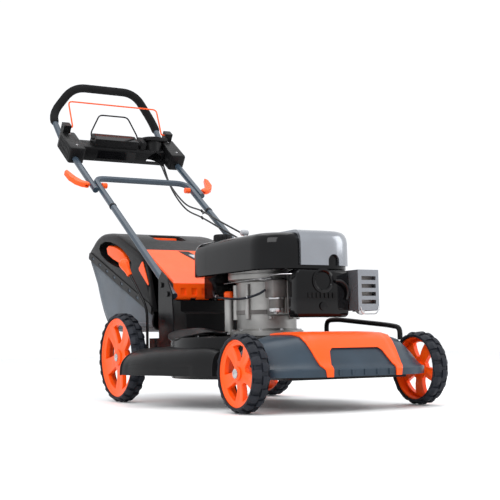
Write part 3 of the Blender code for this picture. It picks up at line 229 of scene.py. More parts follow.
crossing = weave_tree.nodes.new("ShaderNodeMath")
crossing.operation = "MULTIPLY"
weave_tree.links.new(threads("Y"), crossing.inputs[0])
weave_tree.links.new(threads("Z"), crossing.inputs[1])
weave_bump = weave_tree.nodes.new("ShaderNodeBump")
weave_bump.inputs["Strength"].default_value = 0.5
weave_bump.inputs["Distance"].default_value = 0.001
weave_tree.links.new(crossing.outputs["Value"], weave_bump.inputs["Height"])
grain_bump = next(link.from_node for link in weave_tree.links
    if link.to_socket == weave_shader.inputs["Normal"])
weave_tree.links.new(grain_bump.outputs["Normal"], weave_bump.inputs["Normal"])
weave_tree.links.new(weave_bump.outputs["Normal"], weave_shader.inputs["Normal"])
print("the weave has", len(weave_tree.nodes), "nodes")

# %% [markdown]
# ## Shaping tools
# Most moulded pieces are one of five shapes: a turned ring, a tube along a path, a stack of outlines, a
# grid of points, or a block with soft edges. Each tool returns a plain mesh object in machine
# measurements. A Bevel modifier then breaks the sharp edges, because no real moulding has a knife edge.

# %% Making and placing a piece
MERGE = 0.000005  # points nearer than this are one point
CORE = 0.0001  # inner radius of a turned shape that is as good as solid


def piece(name, points, faces, material, body, stands_for=(), bevel=0.0, angle=38, segments=2, slot=None):
    """A mesh piece that rides on a body and may stand for some solids."""
    bm = bmesh.new()
    verts = [bm.verts.new(point) for point in points]
    for face in faces:
        if len(set(face)) > 2:
            bm.faces.new([verts[index] for index in face])
    bmesh.ops.remove_doubles(bm, verts=bm.verts, dist=MERGE)
    bmesh.ops.recalc_face_normals(bm, faces=bm.faces)
    mesh = bpy.data.meshes.new(name)
    bm.to_mesh(mesh)
    bm.free()
    obj = bpy.data.objects.new(name, mesh)
    bpy.context.scene.collection.objects.link(obj)
    obj.location = SHIFT
    return dress(obj, material, body, stands_for, bevel, angle, segments)


def dress(obj, material, body, stands_for=(), bevel=0.0, angle=38, segments=2):
    """Gives a finished mesh its finish, soft edges and body, and hides the solids it stands for."""
    obj.data.materials.clear()
    obj.data.materials.append(material)
    for face in obj.data.polygons:
        face.use_smooth = True
    obj.data.set_sharp_from_angle(angle=radians(angle))
    if bevel:
        soft = obj.modifiers.new("soft edges", "BEVEL")
        soft.width = bevel
        soft.segments = segments
        soft.limit_method = "ANGLE"
        soft.angle_limit = radians(angle)
        soft.harden_normals = True
    if body:
        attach(obj, body)
    if stands_for:
        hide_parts(*stands_for)
    return obj


def joined(*shapes):
    """Several (points, faces) shapes as one."""
    points, faces = [], []
    for more_points, more_faces in shapes:
        faces += [[index + len(points) for index in face] for face in more_faces]
        points += list(more_points)
    return points, faces


def mapped(shape, change):
    """The same shape with every point passed through a function."""
    points, faces = shape
    return [change(Vector(point)) for point in points], faces


print("tools for placing pieces are ready")

# %% Turned rings, tubes, stacks, grids and blocks


def ring(profile, centre=(0, 0, 0), axis="z", steps=48, start=0.0):
    """A closed profile of (radius, height) points turned round an axis."""
    points, count = [], len(profile)
    for step in range(steps):
        turn = start + 2 * pi * step / steps
        for radius, height in profile:
            across, away = radius * cos(turn), radius * sin(turn)
            local = {"x": (height, across, away), "y": (across, height, away),
                "z": (across, away, height)}[axis]
            points.append(Vector(centre) + Vector(local))
    faces = []
    for step in range(steps):
        after = (step + 1) % steps
        for index in range(count):
            follow = (index + 1) % count
            faces.append((step * count + index, step * count + follow, after * count + follow,
                after * count + index))
    return points, faces


def smooth_path(places, count):
    """Even points on a smooth curve through the given places."""
    places = [Vector(place) for place in places]
    ends = [2 * places[0] - places[1], *places, 2 * places[-1] - places[-2]]
    dense = []
    for a, b, c, d in zip(ends, ends[1:], ends[2:], ends[3:]):
        for step in range(16):
            t = step / 16
            dense.append(0.5 * (2 * b + (c - a) * t + (2 * a - 5 * b + 4 * c - d) * t**2 + (3 * b - a - 3 * c + d) * t**3))
    dense.append(places[-1])
    lengths = [0.0]
    for first, second in zip(dense, dense[1:]):
        lengths.append(lengths[-1] + (second - first).length)
    path, at = [], 0
    for step in range(count):
        wanted = lengths[-1] * step / (count - 1)
        while at < len(lengths) - 2 and lengths[at + 1] < wanted:
            at += 1
        share = (wanted - lengths[at]) / max(1e-9, lengths[at + 1] - lengths[at])
        path.append(dense[at].lerp(dense[at + 1], share))
    return path


def rounded_path(places, bends, steps=8):
    """A path whose corners are smooth bends of the given reach."""
    places = [Vector(place) for place in places]
    bends = bends if isinstance(bends, list) else [bends] * (len(places) - 2)
    path = [places[0]]
    for before, corner, after, bend in zip(places, places[1:], places[2:], bends):
        into, out = before - corner, after - corner
        reach = min(bend, into.length * 0.48, out.length * 0.48)
        start, stop = corner + into.normalized() * reach, corner + out.normalized() * reach
        for step in range(steps + 1):
            t = step / steps
            path.append(start * (1 - t) ** 2 + corner * 2 * t * (1 - t) + stop * t**2)
    path.append(places[-1])
    return path


def pipe(path, radius, sides=12):
    """A round tube with flat ends; radius is one value or a function of the share along the path."""
    path = [Vector(point) for point in path]
    size = radius if callable(radius) else (lambda share: radius)
    ahead = (path[1] - path[0]).normalized()
    side = ahead.orthogonal().normalized()
    points, rows = [], []
    for index, place in enumerate(path):
        before, after = path[max(0, index - 1)], path[min(len(path) - 1, index + 1)]
        new_ahead = (after - before).normalized()
        side = (side - new_ahead * side.dot(new_ahead)).normalized()
        other = new_ahead.cross(side)
        width = size(index / (len(path) - 1))
        rows.append([len(points) + step for step in range(sides)])
        for step in range(sides):
            angle = 2 * pi * step / sides
            points.append(place + (side * cos(angle) + other * sin(angle)) * width)
    faces = [tuple(rows[0]), tuple(rows[-1])]
    for low, high in zip(rows, rows[1:]):
        for step in range(sides):
            after = (step + 1) % sides
            faces.append((low[step], low[after], high[after], high[step]))
    return points, faces


def stack(outlines):
    """Closed outlines of equal point count, skinned from first to last and capped."""
    points = [point for outline in outlines for point in outline]
    count = len(outlines[0])
    faces = [tuple(range(count)), tuple(range(len(points) - count, len(points)))]
    for row in range(len(outlines) - 1):
        for index in range(count):
            after = (index + 1) % count
            low, high = row * count, (row + 1) * count
            faces.append((low + index, low + after, high + after, high + index))
    return points, faces


def prism(outline, low, high, axis="z"):
    """An outline given a thickness along x, y or z."""
    place = {"x": lambda a, b, t: (t, a, b), "y": lambda a, b, t: (a, t, b), "z": lambda a, b,
        t: (a, b, t)}[axis]
    return stack([[Vector(place(a, b, t)) for a, b in outline] for t in (low, high)])


def block(low, high):
    """A box between two corners."""
    (x0, y0, z0), (x1, y1, z1) = low, high
    return prism([(x0, y0), (x1, y0), (x1, y1), (x0, y1)], z0, z1)


def grid(rows, thickness=0.0, towards=None):
    """A sheet through rows of points. A thickness makes it a shell, grown along the point normals."""
    count, deep = len(rows[0]), len(rows)
    flat = [Vector(point) for row in rows for point in row]
    faces = []
    for r in range(deep - 1):
        for c in range(count - 1):
            a = r * count + c
            faces.append((a, a + 1, a + count + 1, a + count))
    if not thickness:
        return flat, faces
    inner = []
    for r in range(deep):
        for c in range(count):
            across = flat[r * count + min(c + 1, count - 1)] - flat[r * count + max(c - 1, 0)]
            along = flat[min(r + 1, deep - 1) * count + c] - flat[max(r - 1, 0) * count + c]
            normal = across.cross(along).normalized()
            inner.append(flat[r * count + c] + normal * thickness)
    shift = len(flat)
    back = [tuple(index + shift for index in reversed(face)) for face in faces]
    edge = [(0, c) for c in range(count - 1)] + [(r, count - 1) for r in range(deep - 1)]
    edge += [(deep - 1, c) for c in range(count - 1, 0, -1)] + [(r, 0) for r in range(deep - 1, 0, -1)]
    loop = [r * count + c for r, c in edge]
    rim = []
    for index, first in enumerate(loop):
        second = loop[(index + 1) % len(loop)]
        rim.append((first, second, second + shift, first + shift))
    return flat + inner, faces + back + rim


def circle(radius, centre=(0, 0), steps=48, start=0.0, end=2 * pi):
    """Points on a circle, or on an arc with both its ends."""
    last = steps + 1 if end - start < 2 * pi - 0.001 else steps
    return [
        (centre[0] + radius * cos(start + (end - start) * k / steps),
            centre[1] + radius * sin(start + (end - start) * k / steps))
        for k in range(last)
    ]


def rounded_box(x0, x1, y0, y1, radii, steps=8):
    """A rectangle with a radius of its own at each corner."""
    a, b, c, d = radii
    return (
        circle(a, (x0 + a, y0 + a), steps, pi, 1.5 * pi) + circle(b, (x1 - b, y0 + b), steps, 1.5 * pi, 2 * pi)
        + circle(c, (x1 - c, y1 - c), steps, 0, 0.5 * pi) + circle(d, (x0 + d, y1 - d), steps, 0.5 * pi, pi)
    )


def baked(obj, *cutters, operation="DIFFERENCE"):
    """Cuts the object with meshes that are then thrown away."""
    for cutter in cutters:
        modifier = obj.modifiers.new("cut", "BOOLEAN")
        modifier.object = cutter
        modifier.operation = operation
        modifier.solver = "EXACT"
    bpy.context.view_layer.update()
    shown = obj.evaluated_get(bpy.context.evaluated_depsgraph_get())
    mesh = bpy.data.meshes.new_from_object(shown)
    obj.modifiers.clear()
    obj.data = mesh
    for cutter in cutters:
        bpy.data.objects.remove(cutter)
    return obj


def loose(name, shape):
    """A bare mesh object for cutting with."""
    mesh = bpy.data.meshes.new(name)
    bm = bmesh.new()
    verts = [bm.verts.new(point) for point in shape[0]]
    for face in shape[1]:
        bm.faces.new([verts[index] for index in face])
    bmesh.ops.recalc_face_normals(bm, faces=bm.faces)
    bm.to_mesh(mesh)
    bm.free()
    obj = bpy.data.objects.new(name, mesh)
    bpy.context.scene.collection.objects.link(obj)
    obj.location = SHIFT
    return obj


print("five shaping tools are ready")

# %% [markdown]
# ## The solids that stay
# Brackets, shafts, castings and tubes already have the right shape. Each only needs its finish and
# slightly broken edges. The edges come from modifiers, so the solid itself is untouched.

# %% Finish the solids
STAYS = {
    DECK: "deck_shell handle_bracket_right handle_bracket_left drive_bail height_lever",
    BLACK: "carry_rail discharge_tunnel cup_holder console",
    TUBE: "lower_handle upper_handle",
    CAST: "crankcase cylinder_block gearbox flywheel",
    # painted shade: the carburettor and muffler take the darker cast copy, for the shade they sit in between the
    # engine's parts
    SHADED_CAST: "carburettor muffler",
    GLOSS: "cylinder_shroud fuel_cap",
    SILVER: "muffler_guard",
    STEEL: "flap_hinge_rod crankshaft blade gearbox_pulley rear_axle rear_carriage front_carriage height_link",
    ORANGE: "stop_bail cam_lever_right cam_lever_left clamp_bolt_right clamp_bolt_left oil_dipstick",
    RUBBER: "drive_belt fuel_hose",
}
PLAIN_EDGE, SHARP = 0.0008, 42  # bevel width in metres; degrees from which an edge is bevelled
BROKEN_EDGE = {"console": 0.004, "cylinder_shroud": 0.004, "cam_lever_right": 0.003, "cam_lever_left": 0.003,
    "deck_shell": 0.002}
for material, names in STAYS.items():
    for name in names.split():
        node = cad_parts[name]
        node.data.materials.clear()
        node.data.materials.append(material)
        if "custom_normal" in node.data.attributes:
            node.data.attributes.remove(node.data.attributes["custom_normal"])
        for face in node.data.polygons:
            face.use_smooth = True
        weld = node.modifiers.new("weld", "WELD")
        weld.merge_threshold = MERGE
        soft = node.modifiers.new("soft edges", "BEVEL")
        soft.width = BROKEN_EDGE.get(name, PLAIN_EDGE)
        soft.segments = 3 if name in BROKEN_EDGE else 2
        soft.limit_method = "ANGLE"
        soft.angle_limit = radians(SHARP)
        soft.harden_normals = True
print("finished", sum(len(names.split()) for names in STAYS.values()), "solids")

# %% [markdown]
# ## Wheels
# The tyres are moulded with tall arched blocks that wrap over the shoulder, staggered from side to side.
# The solid tyre is the envelope of those blocks, so the carcass here is a little smaller and the blocks
# reach the true radius. The rim is one dished orange disc with five windows. Its grid of points bends
# round the windows, which keeps their edges clean without any cutting.

# %% Tyres with staggered blocks


def lug(centre, radius, half, turn, spread, side):
    """One tread block: an arch over the shoulder, set on the carcass."""
    section = [
        (0.002, radius - 0.0085), (0.002, radius - 0.0008), (0.0125, radius), (0.0175, radius - 0.0028),
        (half - 0.0006, radius - 0.0080), (half - 0.0010, radius - 0.0112), (half - 0.006, radius - 0.0100),
    ]
    outlines = []
    for step in range(6):
        share = -1 + 2 * step / 5
        swing = turn + spread * share
        outline = []
        for index, (across, reach) in enumerate(section):
            pull = 1 - 0.16 * abs(share) ** 3 if index in (3, 4, 5) else 1
            reach = reach - (0.0016 * share**2 if index in (1, 2) else 0)
            outline.append(Vector((side * across * pull, reach * cos(swing),
                reach * sin(swing))) + Vector(centre))
        outlines.append(outline)
    return stack(outlines)


def tyre(name, node, body, radius, rim, centre, blocks):
    """The carcass with two rows of blocks, half a pitch apart."""
    half = 0.025
    carcass = ring(
        [(rim + 0.0004, half - 0.006), (rim + 0.003, half - 0.0012), (rim + 0.006, half - 0.0025),
         (radius - 0.015, half - 0.0022), (radius - 0.0085, half - 0.006), (radius - 0.0065, 0.008),
         (radius - 0.0065, -0.008), (radius - 0.0085, 0.006 - half), (radius - 0.015, 0.0022 - half),
         (rim + 0.006, 0.0025 - half), (rim + 0.003, 0.0012 - half), (rim + 0.0004, 0.006 - half)],
        centre, "x", 72)
    shapes = [carcass]
    pitch = 2 * pi / blocks
    for index in range(blocks):
        shapes.append(lug(centre, radius, half, -pi / 2 + pitch * index, pitch * 0.33, 1))
        shapes.append(lug(centre, radius, half, -pi / 2 + pitch * (index + 0.5), pitch * 0.33, -1))
    return piece(name, *joined(*shapes), RUBBER, body, [node], bevel=0.0009, angle=30)


# %% Dished rims with five windows
DISC_DEPTH = 0.013


def rim_sheet(radius, face):
    """The front of the disc: a polar grid that leaves out the five windows."""
    pitch = 2 * pi / 5
    rows = [0.13, 0.20, 0.28, 0.36, 0.44, 0.54, 0.66, 0.76, 0.83, 0.87, 0.93]
    opens = range(3, 8)
    points, faces = [], []
    columns = 5 * 14
    for share in rows:
        reach = share * radius
        grow = min(1, max(0, (share - 0.36) / 0.47))
        spread = 0.17 + 0.20 * sqrt(grow)
        for column in range(columns):
            sector, place = divmod(column, 14)
            middle = sector * pitch + pi / 2
            if place <= 7:
                turn = middle - spread + 2 * spread * place / 7
                ridge = 0.0
            else:
                share_rib = (place - 7) / 7
                turn = middle + spread + (pitch - 2 * spread) * share_rib
                ridge = 0.0022 * abs(cos(pi * share_rib)) - 0.0008
            dish = -0.0075 * sin(pi * min(1, max(0, (share - 0.13) / 0.80))) ** 0.8
            depth = face + dish + ridge * sin(pi * min(1, max(0, (share - 0.25) / 0.6)))
            points.append(Vector((depth, reach * cos(turn), reach * sin(turn))))
    for row in range(len(rows) - 1):
        for column in range(columns):
            if row in opens and column % 14 < 7:
                continue
            after = (column + 1) % columns
            faces.append((row * columns + column, row * columns + after, (row + 1) * columns + after,
                (row + 1) * columns + column))
    return points, faces


def rim(name, node, body, radius, centre, side):
    """The disc with its back and window walls, the rim's ring and the hub, as one piece."""
    half = 0.0175
    disc_points, disc_faces = rim_sheet(radius, half - 0.001)
    disc = piece(name, [Vector((side * p.x, p.y, p.z)) + Vector(centre) for p in disc_points], disc_faces,
        ORANGE, None)
    solid = joined(
        ring([(radius, half + 0.0015), (radius, -half), (radius * 0.955, -half), (radius * 0.925, half - 0.004),
              (radius * 0.925, half - 0.0008), (radius * 0.955, half + 0.0015)], (0, 0, 0), "x", 72),
        ring([(radius * 0.21, half + 0.0005), (radius * 0.21, -half), (0.0085, -half), (0.0085, half - 0.001),
              (radius * 0.12, half + 0.0035), (radius * 0.17, half + 0.003)], (0, 0, 0), "x", 36),
    )
    extra = [Vector((side * p.x, p.y, p.z)) + Vector(centre) for p in solid[0]]
    sheet_points = [Vector(v.co) for v in disc.data.vertices]
    sheet_faces = [tuple(f.vertices) for f in disc.data.polygons]
    back = [Vector((p.x - side * DISC_DEPTH, p.y, p.z)) for p in sheet_points]
    count = len(sheet_points)
    edges = {}
    for face in sheet_faces:
        for index, first in enumerate(face):
            key = frozenset((first, face[(index + 1) % len(face)]))
            edges[key] = edges.get(key, 0) + 1
    walls = [(*sorted(key), *[index + count for index in sorted(key, reverse=True)]) for key,
        used in edges.items() if used == 1]
    shape = (sheet_points + back, sheet_faces + [tuple(i + count for i in f) for f in sheet_faces] + walls)
    bpy.data.objects.remove(disc)
    return piece(name, *joined(shape, (extra, solid[1])), ORANGE, body, [node], bevel=0.0010, angle=36)


WHEELS = [
    ("front_right", "front_right_wheel", 0.0975, 0.084, (-0.272, -0.379, 0.0975), -1, 18),
    ("front_left", "front_left_wheel", 0.0975, 0.084, (0.272, -0.379, 0.0975), 1, 18),
    ("rear_right", "rear_right_wheel", 0.134, 0.1185, (-0.262, 0.379, 0.134), -1, 24),
    ("rear_left", "rear_left_wheel", 0.134, 0.1185, (0.262, 0.379, 0.134), 1, 24),
]
for word, body, radius, rim_radius, centre, side, blocks in WHEELS:
    tyre(f"{word}_tread", f"{word}_tyre", body, radius, rim_radius, centre, blocks)
    rim(f"{word}_disc", f"{word}_rim", body, rim_radius, centre, side)
    hub = [(CORE, 0.0195), (0.005, 0.0192), (0.0078, 0.0170), (0.0078, 0.0150), (CORE, 0.0150)]
    cap = mapped(ring(hub, (0, 0, 0), "x", 24), lambda p, s=side,
        c=centre: Vector((s * (p.x + 0.004), p.y, p.z)) + Vector(c))
    piece(f"{word}_hub_cap", *cap, STEEL, body, angle=50)
print("four wheels are on")

# %% [markdown]
# ## Front cover and bumper
# The nose is a slate moulding that wraps the deck's front and drops at both sides. An orange insert
# follows the same surface a few millimetres higher. Both come from one formula for the surface, so they
# cannot drift apart. The grab opening is cut through both with one soft-cornered arch.

# %% The nose surface
NOSE = [
    (-0.300, 1.00, 0.1934), (-0.352, 1.00, 0.1932), (-0.400, 1.00, 0.1915), (-0.430, 0.97, 0.1855),
        (-0.450, 0.83, 0.1705),
    (-0.468, 0.55, 0.1500), (-0.483, 0.30, 0.1300), (-0.497, 0.10, 0.1125), (-0.507, 0.02, 0.1072),
        (-0.510, 0.00, 0.1030),
    (-0.5095, 0.00, 0.0860),
]


def nose_point(x, row, lift=0.0):
    """A point on the nose, or a lift above it."""
    y, fall, z = NOSE[row]
    share = abs(x) / 0.240
    back = 0.070 * share**4 * min(1, max(0, (-0.300 - y) / 0.09))
    ahead = (NOSE[min(row + 1, len(NOSE) - 1)][0] - NOSE[max(row - 1, 0)][0],
        NOSE[min(row + 1, len(NOSE) - 1)][2] - NOSE[max(row - 1, 0)][2])
    size = hypot(*ahead)
    return Vector((x, y + back + lift * ahead[1] / size, z - 0.052 * share**5 * fall - lift * ahead[0] / size))


def nose(name, node, half_at, lift, depth, columns, material, groove=None):
    rows = []
    for row in range(len(NOSE)):
        half = half_at(row / (len(NOSE) - 1))
        line = []
        for column in range(columns):
            x = half * (2 * column / (columns - 1) - 1)
            line.append(nose_point(x, row, lift + (groove(x, row) if groove else 0)))
        rows.append(line)
    made = piece(name, *grid(rows, depth), material, None)
    arch = [(-0.096, 0.060), (0.096, 0.060), (0.094, 0.112), (0.080, 0.148), (0.070, 0.156), (-0.070, 0.156),
        (-0.080, 0.148), (-0.094, 0.112)]
    low = 0.121 if node == "front_cover" else 0.06
    arch = [(x, max(z, low)) for x, z in arch]
    baked(made, loose("grab", prism(arch, -0.62, -0.452, "y")))
    return dress(made, material, "frame", [node], 0.0012, 36)


def bumper_groove(x, row):
    """Two pressed lines run from front to back, where the insert steps down to its sides."""
    return -0.0012 if 0.112 < abs(x) < 0.120 else 0.0


nose("nose_cover", "front_cover", lambda share: 0.240, 0.0, 0.003, 49, SLATE)
nose("nose_insert", "front_bumper", lambda share: 0.146 - 0.034 * share, 0.0048, 0.0040, 41, ORANGE,
    bumper_groove)
for x in (-0.075, -0.0375, 0.0, 0.0375, 0.075):
    rib = [(-0.5105, 0.088), (-0.5125, 0.090), (-0.5125, 0.103), (-0.5105, 0.105)]
    piece(f"nose_rib_{round((x + 0.1) * 1000)}", *prism(rib, x - 0.003, x + 0.003, "x"), SLATE, "frame",
        bevel=0.0008, slot="front_cover")
print("nose is on")

# %% [markdown]
# ## Engine covers
# The housing is deep-drawn gloss black with a slightly crowned top. A silver band goes over its front,
# split by an arch for the air intake. Stacking outlines that shrink towards the top gives the soft
# shoulder and so the crown; the cap on top is flat.

# %% Blower housing, tank and band
SHAFT_Y = -0.040  # the crankshaft's place along the machine


def hood(margin, rear=0.155):
    """The housing's outline, shrunk by a margin."""
    return rounded_box(-0.145 + margin, 0.145 - margin, -0.290 + margin, rear - margin,
        (0.090 - margin, 0.090 - margin, 0.045 - margin / 2, 0.045 - margin / 2), 10)


HOOD_LEVELS = [(0.3620, 0.004), (0.3650, 0.000), (0.3900, 0.0000), (0.4280, 0.0005), (0.4420, 0.0030),
    (0.4520, 0.0080), (0.4585, 0.0150), (0.4615, 0.0240), (0.4620, 0.0340)]


def hood_stack(grow=0.0, low=0.0, lift=0.0):
    """The crowned housing, grown and lifted for the band over it."""
    return stack([[Vector((x, y, max(z, low) + lift)) for x, y in hood(margin - grow)] for z,
        margin in HOOD_LEVELS if z >= low - 0.004])


housing = piece("housing_hood", *hood_stack(), GLOSS, None)
baked(housing, loose("tank_half", block((-0.4, 0.050, 0.3), (0.4, 0.4, 0.6))),
    loose("fan_space", ring([(0.085, 0.430), (0.085, 0.34), (CORE, 0.34), (CORE, 0.430)], (0, SHAFT_Y, 0), "z",
    40)))
dress(housing, GLOSS, "frame", ["blower_housing"], 0.0012, 34)
tank = piece("tank_body", *hood_stack(), GLOSS, None)
baked(tank, loose("housing_half", block((-0.4, -0.4, 0.3), (0.4, 0.0504, 0.6))))
step = loose("tank_sump", block((-0.100, 0.073, 0.302), (0.020, 0.146, 0.366)))
neck = loose("tank_throat", ring([(0.018, 0.472), (0.018, 0.452), (CORE, 0.452), (CORE, 0.472)],
    (-0.055, 0.112, 0), "z", 32))
baked(tank, step, neck, operation="UNION")
dress(tank, GLOSS, "frame", ["fuel_tank"], 0.0014, 34)
band = piece("hood_band", *hood_stack(0.0075, 0.3665, 0.0075), SILVER, None)
baked(band, loose("band_keep", block((-0.045, -0.4, 0.3), (0.122, 0.020, 0.6))), operation="INTERSECT")
inside = loose("band_inside", stack([[Vector((x, y, z)) for x, y in hood(margin - 0.0006)] for z,
    margin in [(0.34, 0)] + [(z + 0.0006, m) for z, m in HOOD_LEVELS[1:]]]))
baked(band, inside, loose("intake_mouth", ring([(0.018, -0.2), (0.018, -0.45), (CORE, -0.45), (CORE, -0.2)],
    (0.060, 0, 0.386), "y", 32)), loose("intake_foot", block((0.042, -0.45, 0.33), (0.078, -0.2, 0.386))))
dress(band, SILVER, "frame", ["engine_cowl"], 0.0015, 34)
print("engine covers are on")

# %% Trim lines on the hood
vents = []
for k in range(7):
    y = -0.215 + 0.024 * k
    vents.append(block((-0.09, y, 0.4615), (-0.052, y + 0.010, 0.4632)))
piece("hood_vents", *joined(*vents), BLACK, "frame", bevel=0.0006, slot="blower_housing")
lip = [(0.0880, 0.4625), (0.0880, 0.4618), (0.0800, 0.4618), (0.0800, 0.4632)]
piece("starter_ring", *mapped(ring(lip, (0, 0, 0), "z", 64), lambda p: Vector((p.x, p.y + SHAFT_Y, p.z))), GLOSS,
    "frame", slot="blower_housing")

# %% [markdown]
# ## Starter grip and fuel cap
# The grip is a T-shaped pale handle that leans towards the operator, pulled up against its guide by the
# recoil spring. The cap is a coarse-toothed knob. Teeth are simply a ring whose radius rises and falls.

# %% Grip, cap and oil cap
lean = radians(20)
seat = Vector((0.030, 0.118, 0.4624))


def leaning(point):
    """A point of the upright grip, leant back on its seat."""
    return Vector((point.x, point.y * cos(lean) + point.z * sin(lean),
        -point.y * sin(lean) + point.z * cos(lean))) + seat


stem = ring([(0.0055, 0.030), (0.0075, 0.010), (0.0080, 0.0032), (CORE, 0.0032), (CORE, 0.030)], (0, 0, 0), "z",
    24)
bar = ring([(CORE, 0.0125), (0.0060, 0.0122), (0.0088, 0.0100), (0.0095, 0.0), (0.0088, -0.0100),
    (0.0060, -0.0122), (CORE, -0.0122)], (0, 0, 0.0405), "x", 28)
piece("pull_grip", *mapped(joined(stem, bar), leaning), PALE, "starter", ["starter_grip"], 0.0006, 45)
guide = ring([(0.0145, 0.0006), (0.0145, -0.0012), (0.0105, -0.0012), (0.0095, 0.0008), (0.0115, 0.0014)],
    (0.030, 0.118, 0.4622), "z", 32)
piece("rope_guide", *guide, BLACK, "frame", slot="fuel_tank")

teeth, levels = 20, [(0.0245, 0.4898), (0.0272, 0.4870), (0.0278, 0.4800), (0.0278, 0.4680), (0.0268, 0.4632)]
outlines = []
for reach, z in levels:
    outline = []
    for k in range(teeth * 4):
        swing = 2 * pi * k / (teeth * 4)
        dip = 0.0014 if k % 4 in (2, 3) and z > 0.465 and reach > 0.025 else 0.0
        outline.append(Vector((-0.055 + (reach - dip) * cos(swing), 0.112 + (reach - dip) * sin(swing), z)))
    outlines.append(outline)
piece("tank_cap", *stack(outlines), BLACK, "cap", ["fuel_cap"], 0.0006, 40)
print("grip and cap are on")

# %% [markdown]
# ## Castings and small fittings of the engine
# Bolts, fins and a linkage make the difference between a block and an engine. Each bolt is a hexagon on
# a washer. Fins are thin plates with gaps. They are all small, so one helper places many at once.

# %% Bolts, fins and linkage


def bolt(place, axis, size=0.005, height=0.004):
    """A hexagon head on a washer."""
    centre = Vector(place)
    washer = ring([(size * 1.35, 0.001), (size * 1.35, -0.0005), (CORE, -0.0005), (CORE, 0.001)], (0, 0, 0),
        "z", 20)
    head = prism([(size * cos(pi * k / 3), size * sin(pi * k / 3)) for k in range(6)], 0.0008, height)
    spin = Vector(axis).to_track_quat("Z", "Y")
    return mapped(joined(washer, head), lambda p: spin @ p + centre)


case_bolts = []
for k in range(10):
    swing = 2 * pi * (k + 0.35) / 10
    case_bolts.append(bolt((0.0955 * cos(swing), SHAFT_Y + 0.0955 * sin(swing), 0.2052), (0, 0, 1), 0.0045))
piece("flange_bolts", *joined(*case_bolts), STEEL, "frame", slot="crankshaft")
bosses = []
for k in range(8):
    swing = 2 * pi * (k + 0.5) / 8
    x, y = 0.0865 * cos(swing), SHAFT_Y + 0.0865 * sin(swing)
    bosses.append(ring([(0.0075, 0.334), (0.0085, 0.236), (CORE, 0.236), (CORE, 0.334)], (x, y, 0), "z", 14))
piece("case_columns", *joined(*bosses), CAST, "frame", bevel=0.0008, slot="crankcase")
fins = [block((-0.056, -0.246 + 0.0135 * k, 0.249), (-0.0495, -0.241 + 0.0135 * k, 0.334)) for k in range(3)]
fins += [block((0.0495, -0.246 + 0.0135 * k, 0.249), (0.058, -0.241 + 0.0135 * k, 0.334)) for k in range(8)]
piece("cylinder_fins", *joined(*fins), CAST, "frame", bevel=0.0005, slot="cylinder_block")
# Painted shade: this ring round the crankcase takes the darker cast copy, standing in for the shade between the
# engine's parts.
sump = ring([(0.0875, 0.262), (0.0875, 0.250), (0.0845, 0.250), (0.0845, 0.262)], (0, SHAFT_Y, 0), "z", 48)
piece("case_joint_shade", *sump, SHADED_CAST, "frame", bevel=0.0006, slot="crankcase")
link_rods = joined(
    pipe([(-0.098, 0.030, 0.3400), (-0.098, -0.060, 0.3420), (-0.092, -0.150, 0.3440),
        (-0.080, -0.200, 0.3450)], 0.0011, 8),
    pipe(rounded_path([(-0.088, -0.222, 0.3430), (-0.098, -0.222, 0.3500), (-0.098, -0.262, 0.3500),
        (-0.070, -0.290, 0.3500)], 0.006), 0.0013, 8),
)
piece("governor_rods", *link_rods, STEEL, "frame", slot="muffler")
plate_shape = prism([(-0.100, -0.232), (-0.056, -0.232), (-0.056, -0.150), (-0.072, -0.142), (-0.100, -0.170)],
    0.3395, 0.3410)
piece("linkage_plate", *plate_shape, STEEL, "frame", bevel=0.0004, slot="muffler")
BOWL_AXIS = (-0.074, -0.215, 0)
bowl = joined(
    ring([(0.0200, 0.262), (0.0200, 0.258), (0.0185, 0.2515), (CORE, 0.2515), (CORE, 0.262)],
        BOWL_AXIS, "z", 32),
    bolt((-0.074, -0.215, 0.2512), (0, 0, -1), 0.0055),
    ring([(0.0215, 0.291), (0.0215, 0.286), (CORE, 0.286), (CORE, 0.291)], BOWL_AXIS, "z", 32),
)
piece("float_bowl", *bowl, STEEL, "frame", bevel=0.0005, slot="carburettor")
clips = [ring([(0.0052, 0.0025), (0.0052, -0.0025), (0.0042, -0.0025), (0.0042, 0.0025)], (-0.116, y, z), "y",
    16) for y, z in ((0.040, 0.3035), (-0.140, 0.2950))]
piece("hose_clips", *joined(*clips), STEEL, "frame", slot="fuel_hose")
print("engine fittings are on")

# %% Intake recess, shroud boss and heat shield
boss = joined(
    ring([(0.031, -0.3124), (0.033, -0.3150), (0.027, -0.3165), (0.024, -0.3140), (0.024, -0.3124)],
        (0.012, 0, 0.332), "y", 40),
    ring([(0.0115, -0.3122), (0.0115, -0.3160), (CORE, -0.3175), (CORE, -0.3122)], (0.012, 0, 0.264), "y", 28),
)
piece("shroud_bosses", *boss, GLOSS, "frame", slot="cylinder_shroud")
louvres = [block((-0.036 + 0.013 * k, -0.3150, 0.286), (-0.029 + 0.013 * k, -0.3124, 0.300)) for k in range(7)]
piece("shroud_louvres", *joined(*louvres), BLACK, "frame", bevel=0.0008, slot="cylinder_shroud")
lead = pipe(smooth_path([(0.050, -0.3165, 0.332), (0.066, -0.322, 0.330), (0.083, -0.319, 0.318),
    (0.090, -0.3155, 0.300), (0.086, -0.3150, 0.282)], 20), 0.0034, 12)
piece("plug_lead", *lead, SHEATH, "frame", slot="fuel_hose")
pipe_shape = pipe(smooth_path([(0.130, -0.300, 0.265), (0.130, -0.306, 0.254), (0.128, -0.322, 0.249)], 12),
    0.009, 20)
piece("exhaust_outlet", *pipe_shape, STEEL, "frame", slot="muffler")
wire = pipe(rounded_path([(0.104, -0.3510, 0.262), (0.108, -0.3530, 0.243), (0.156, -0.3530, 0.243),
    (0.1645, -0.3510, 0.262)], 0.012), 0.0016, 10)
piece("guard_wire", *wire, STEEL, "frame", slot="muffler_guard")
print("shroud details are on")

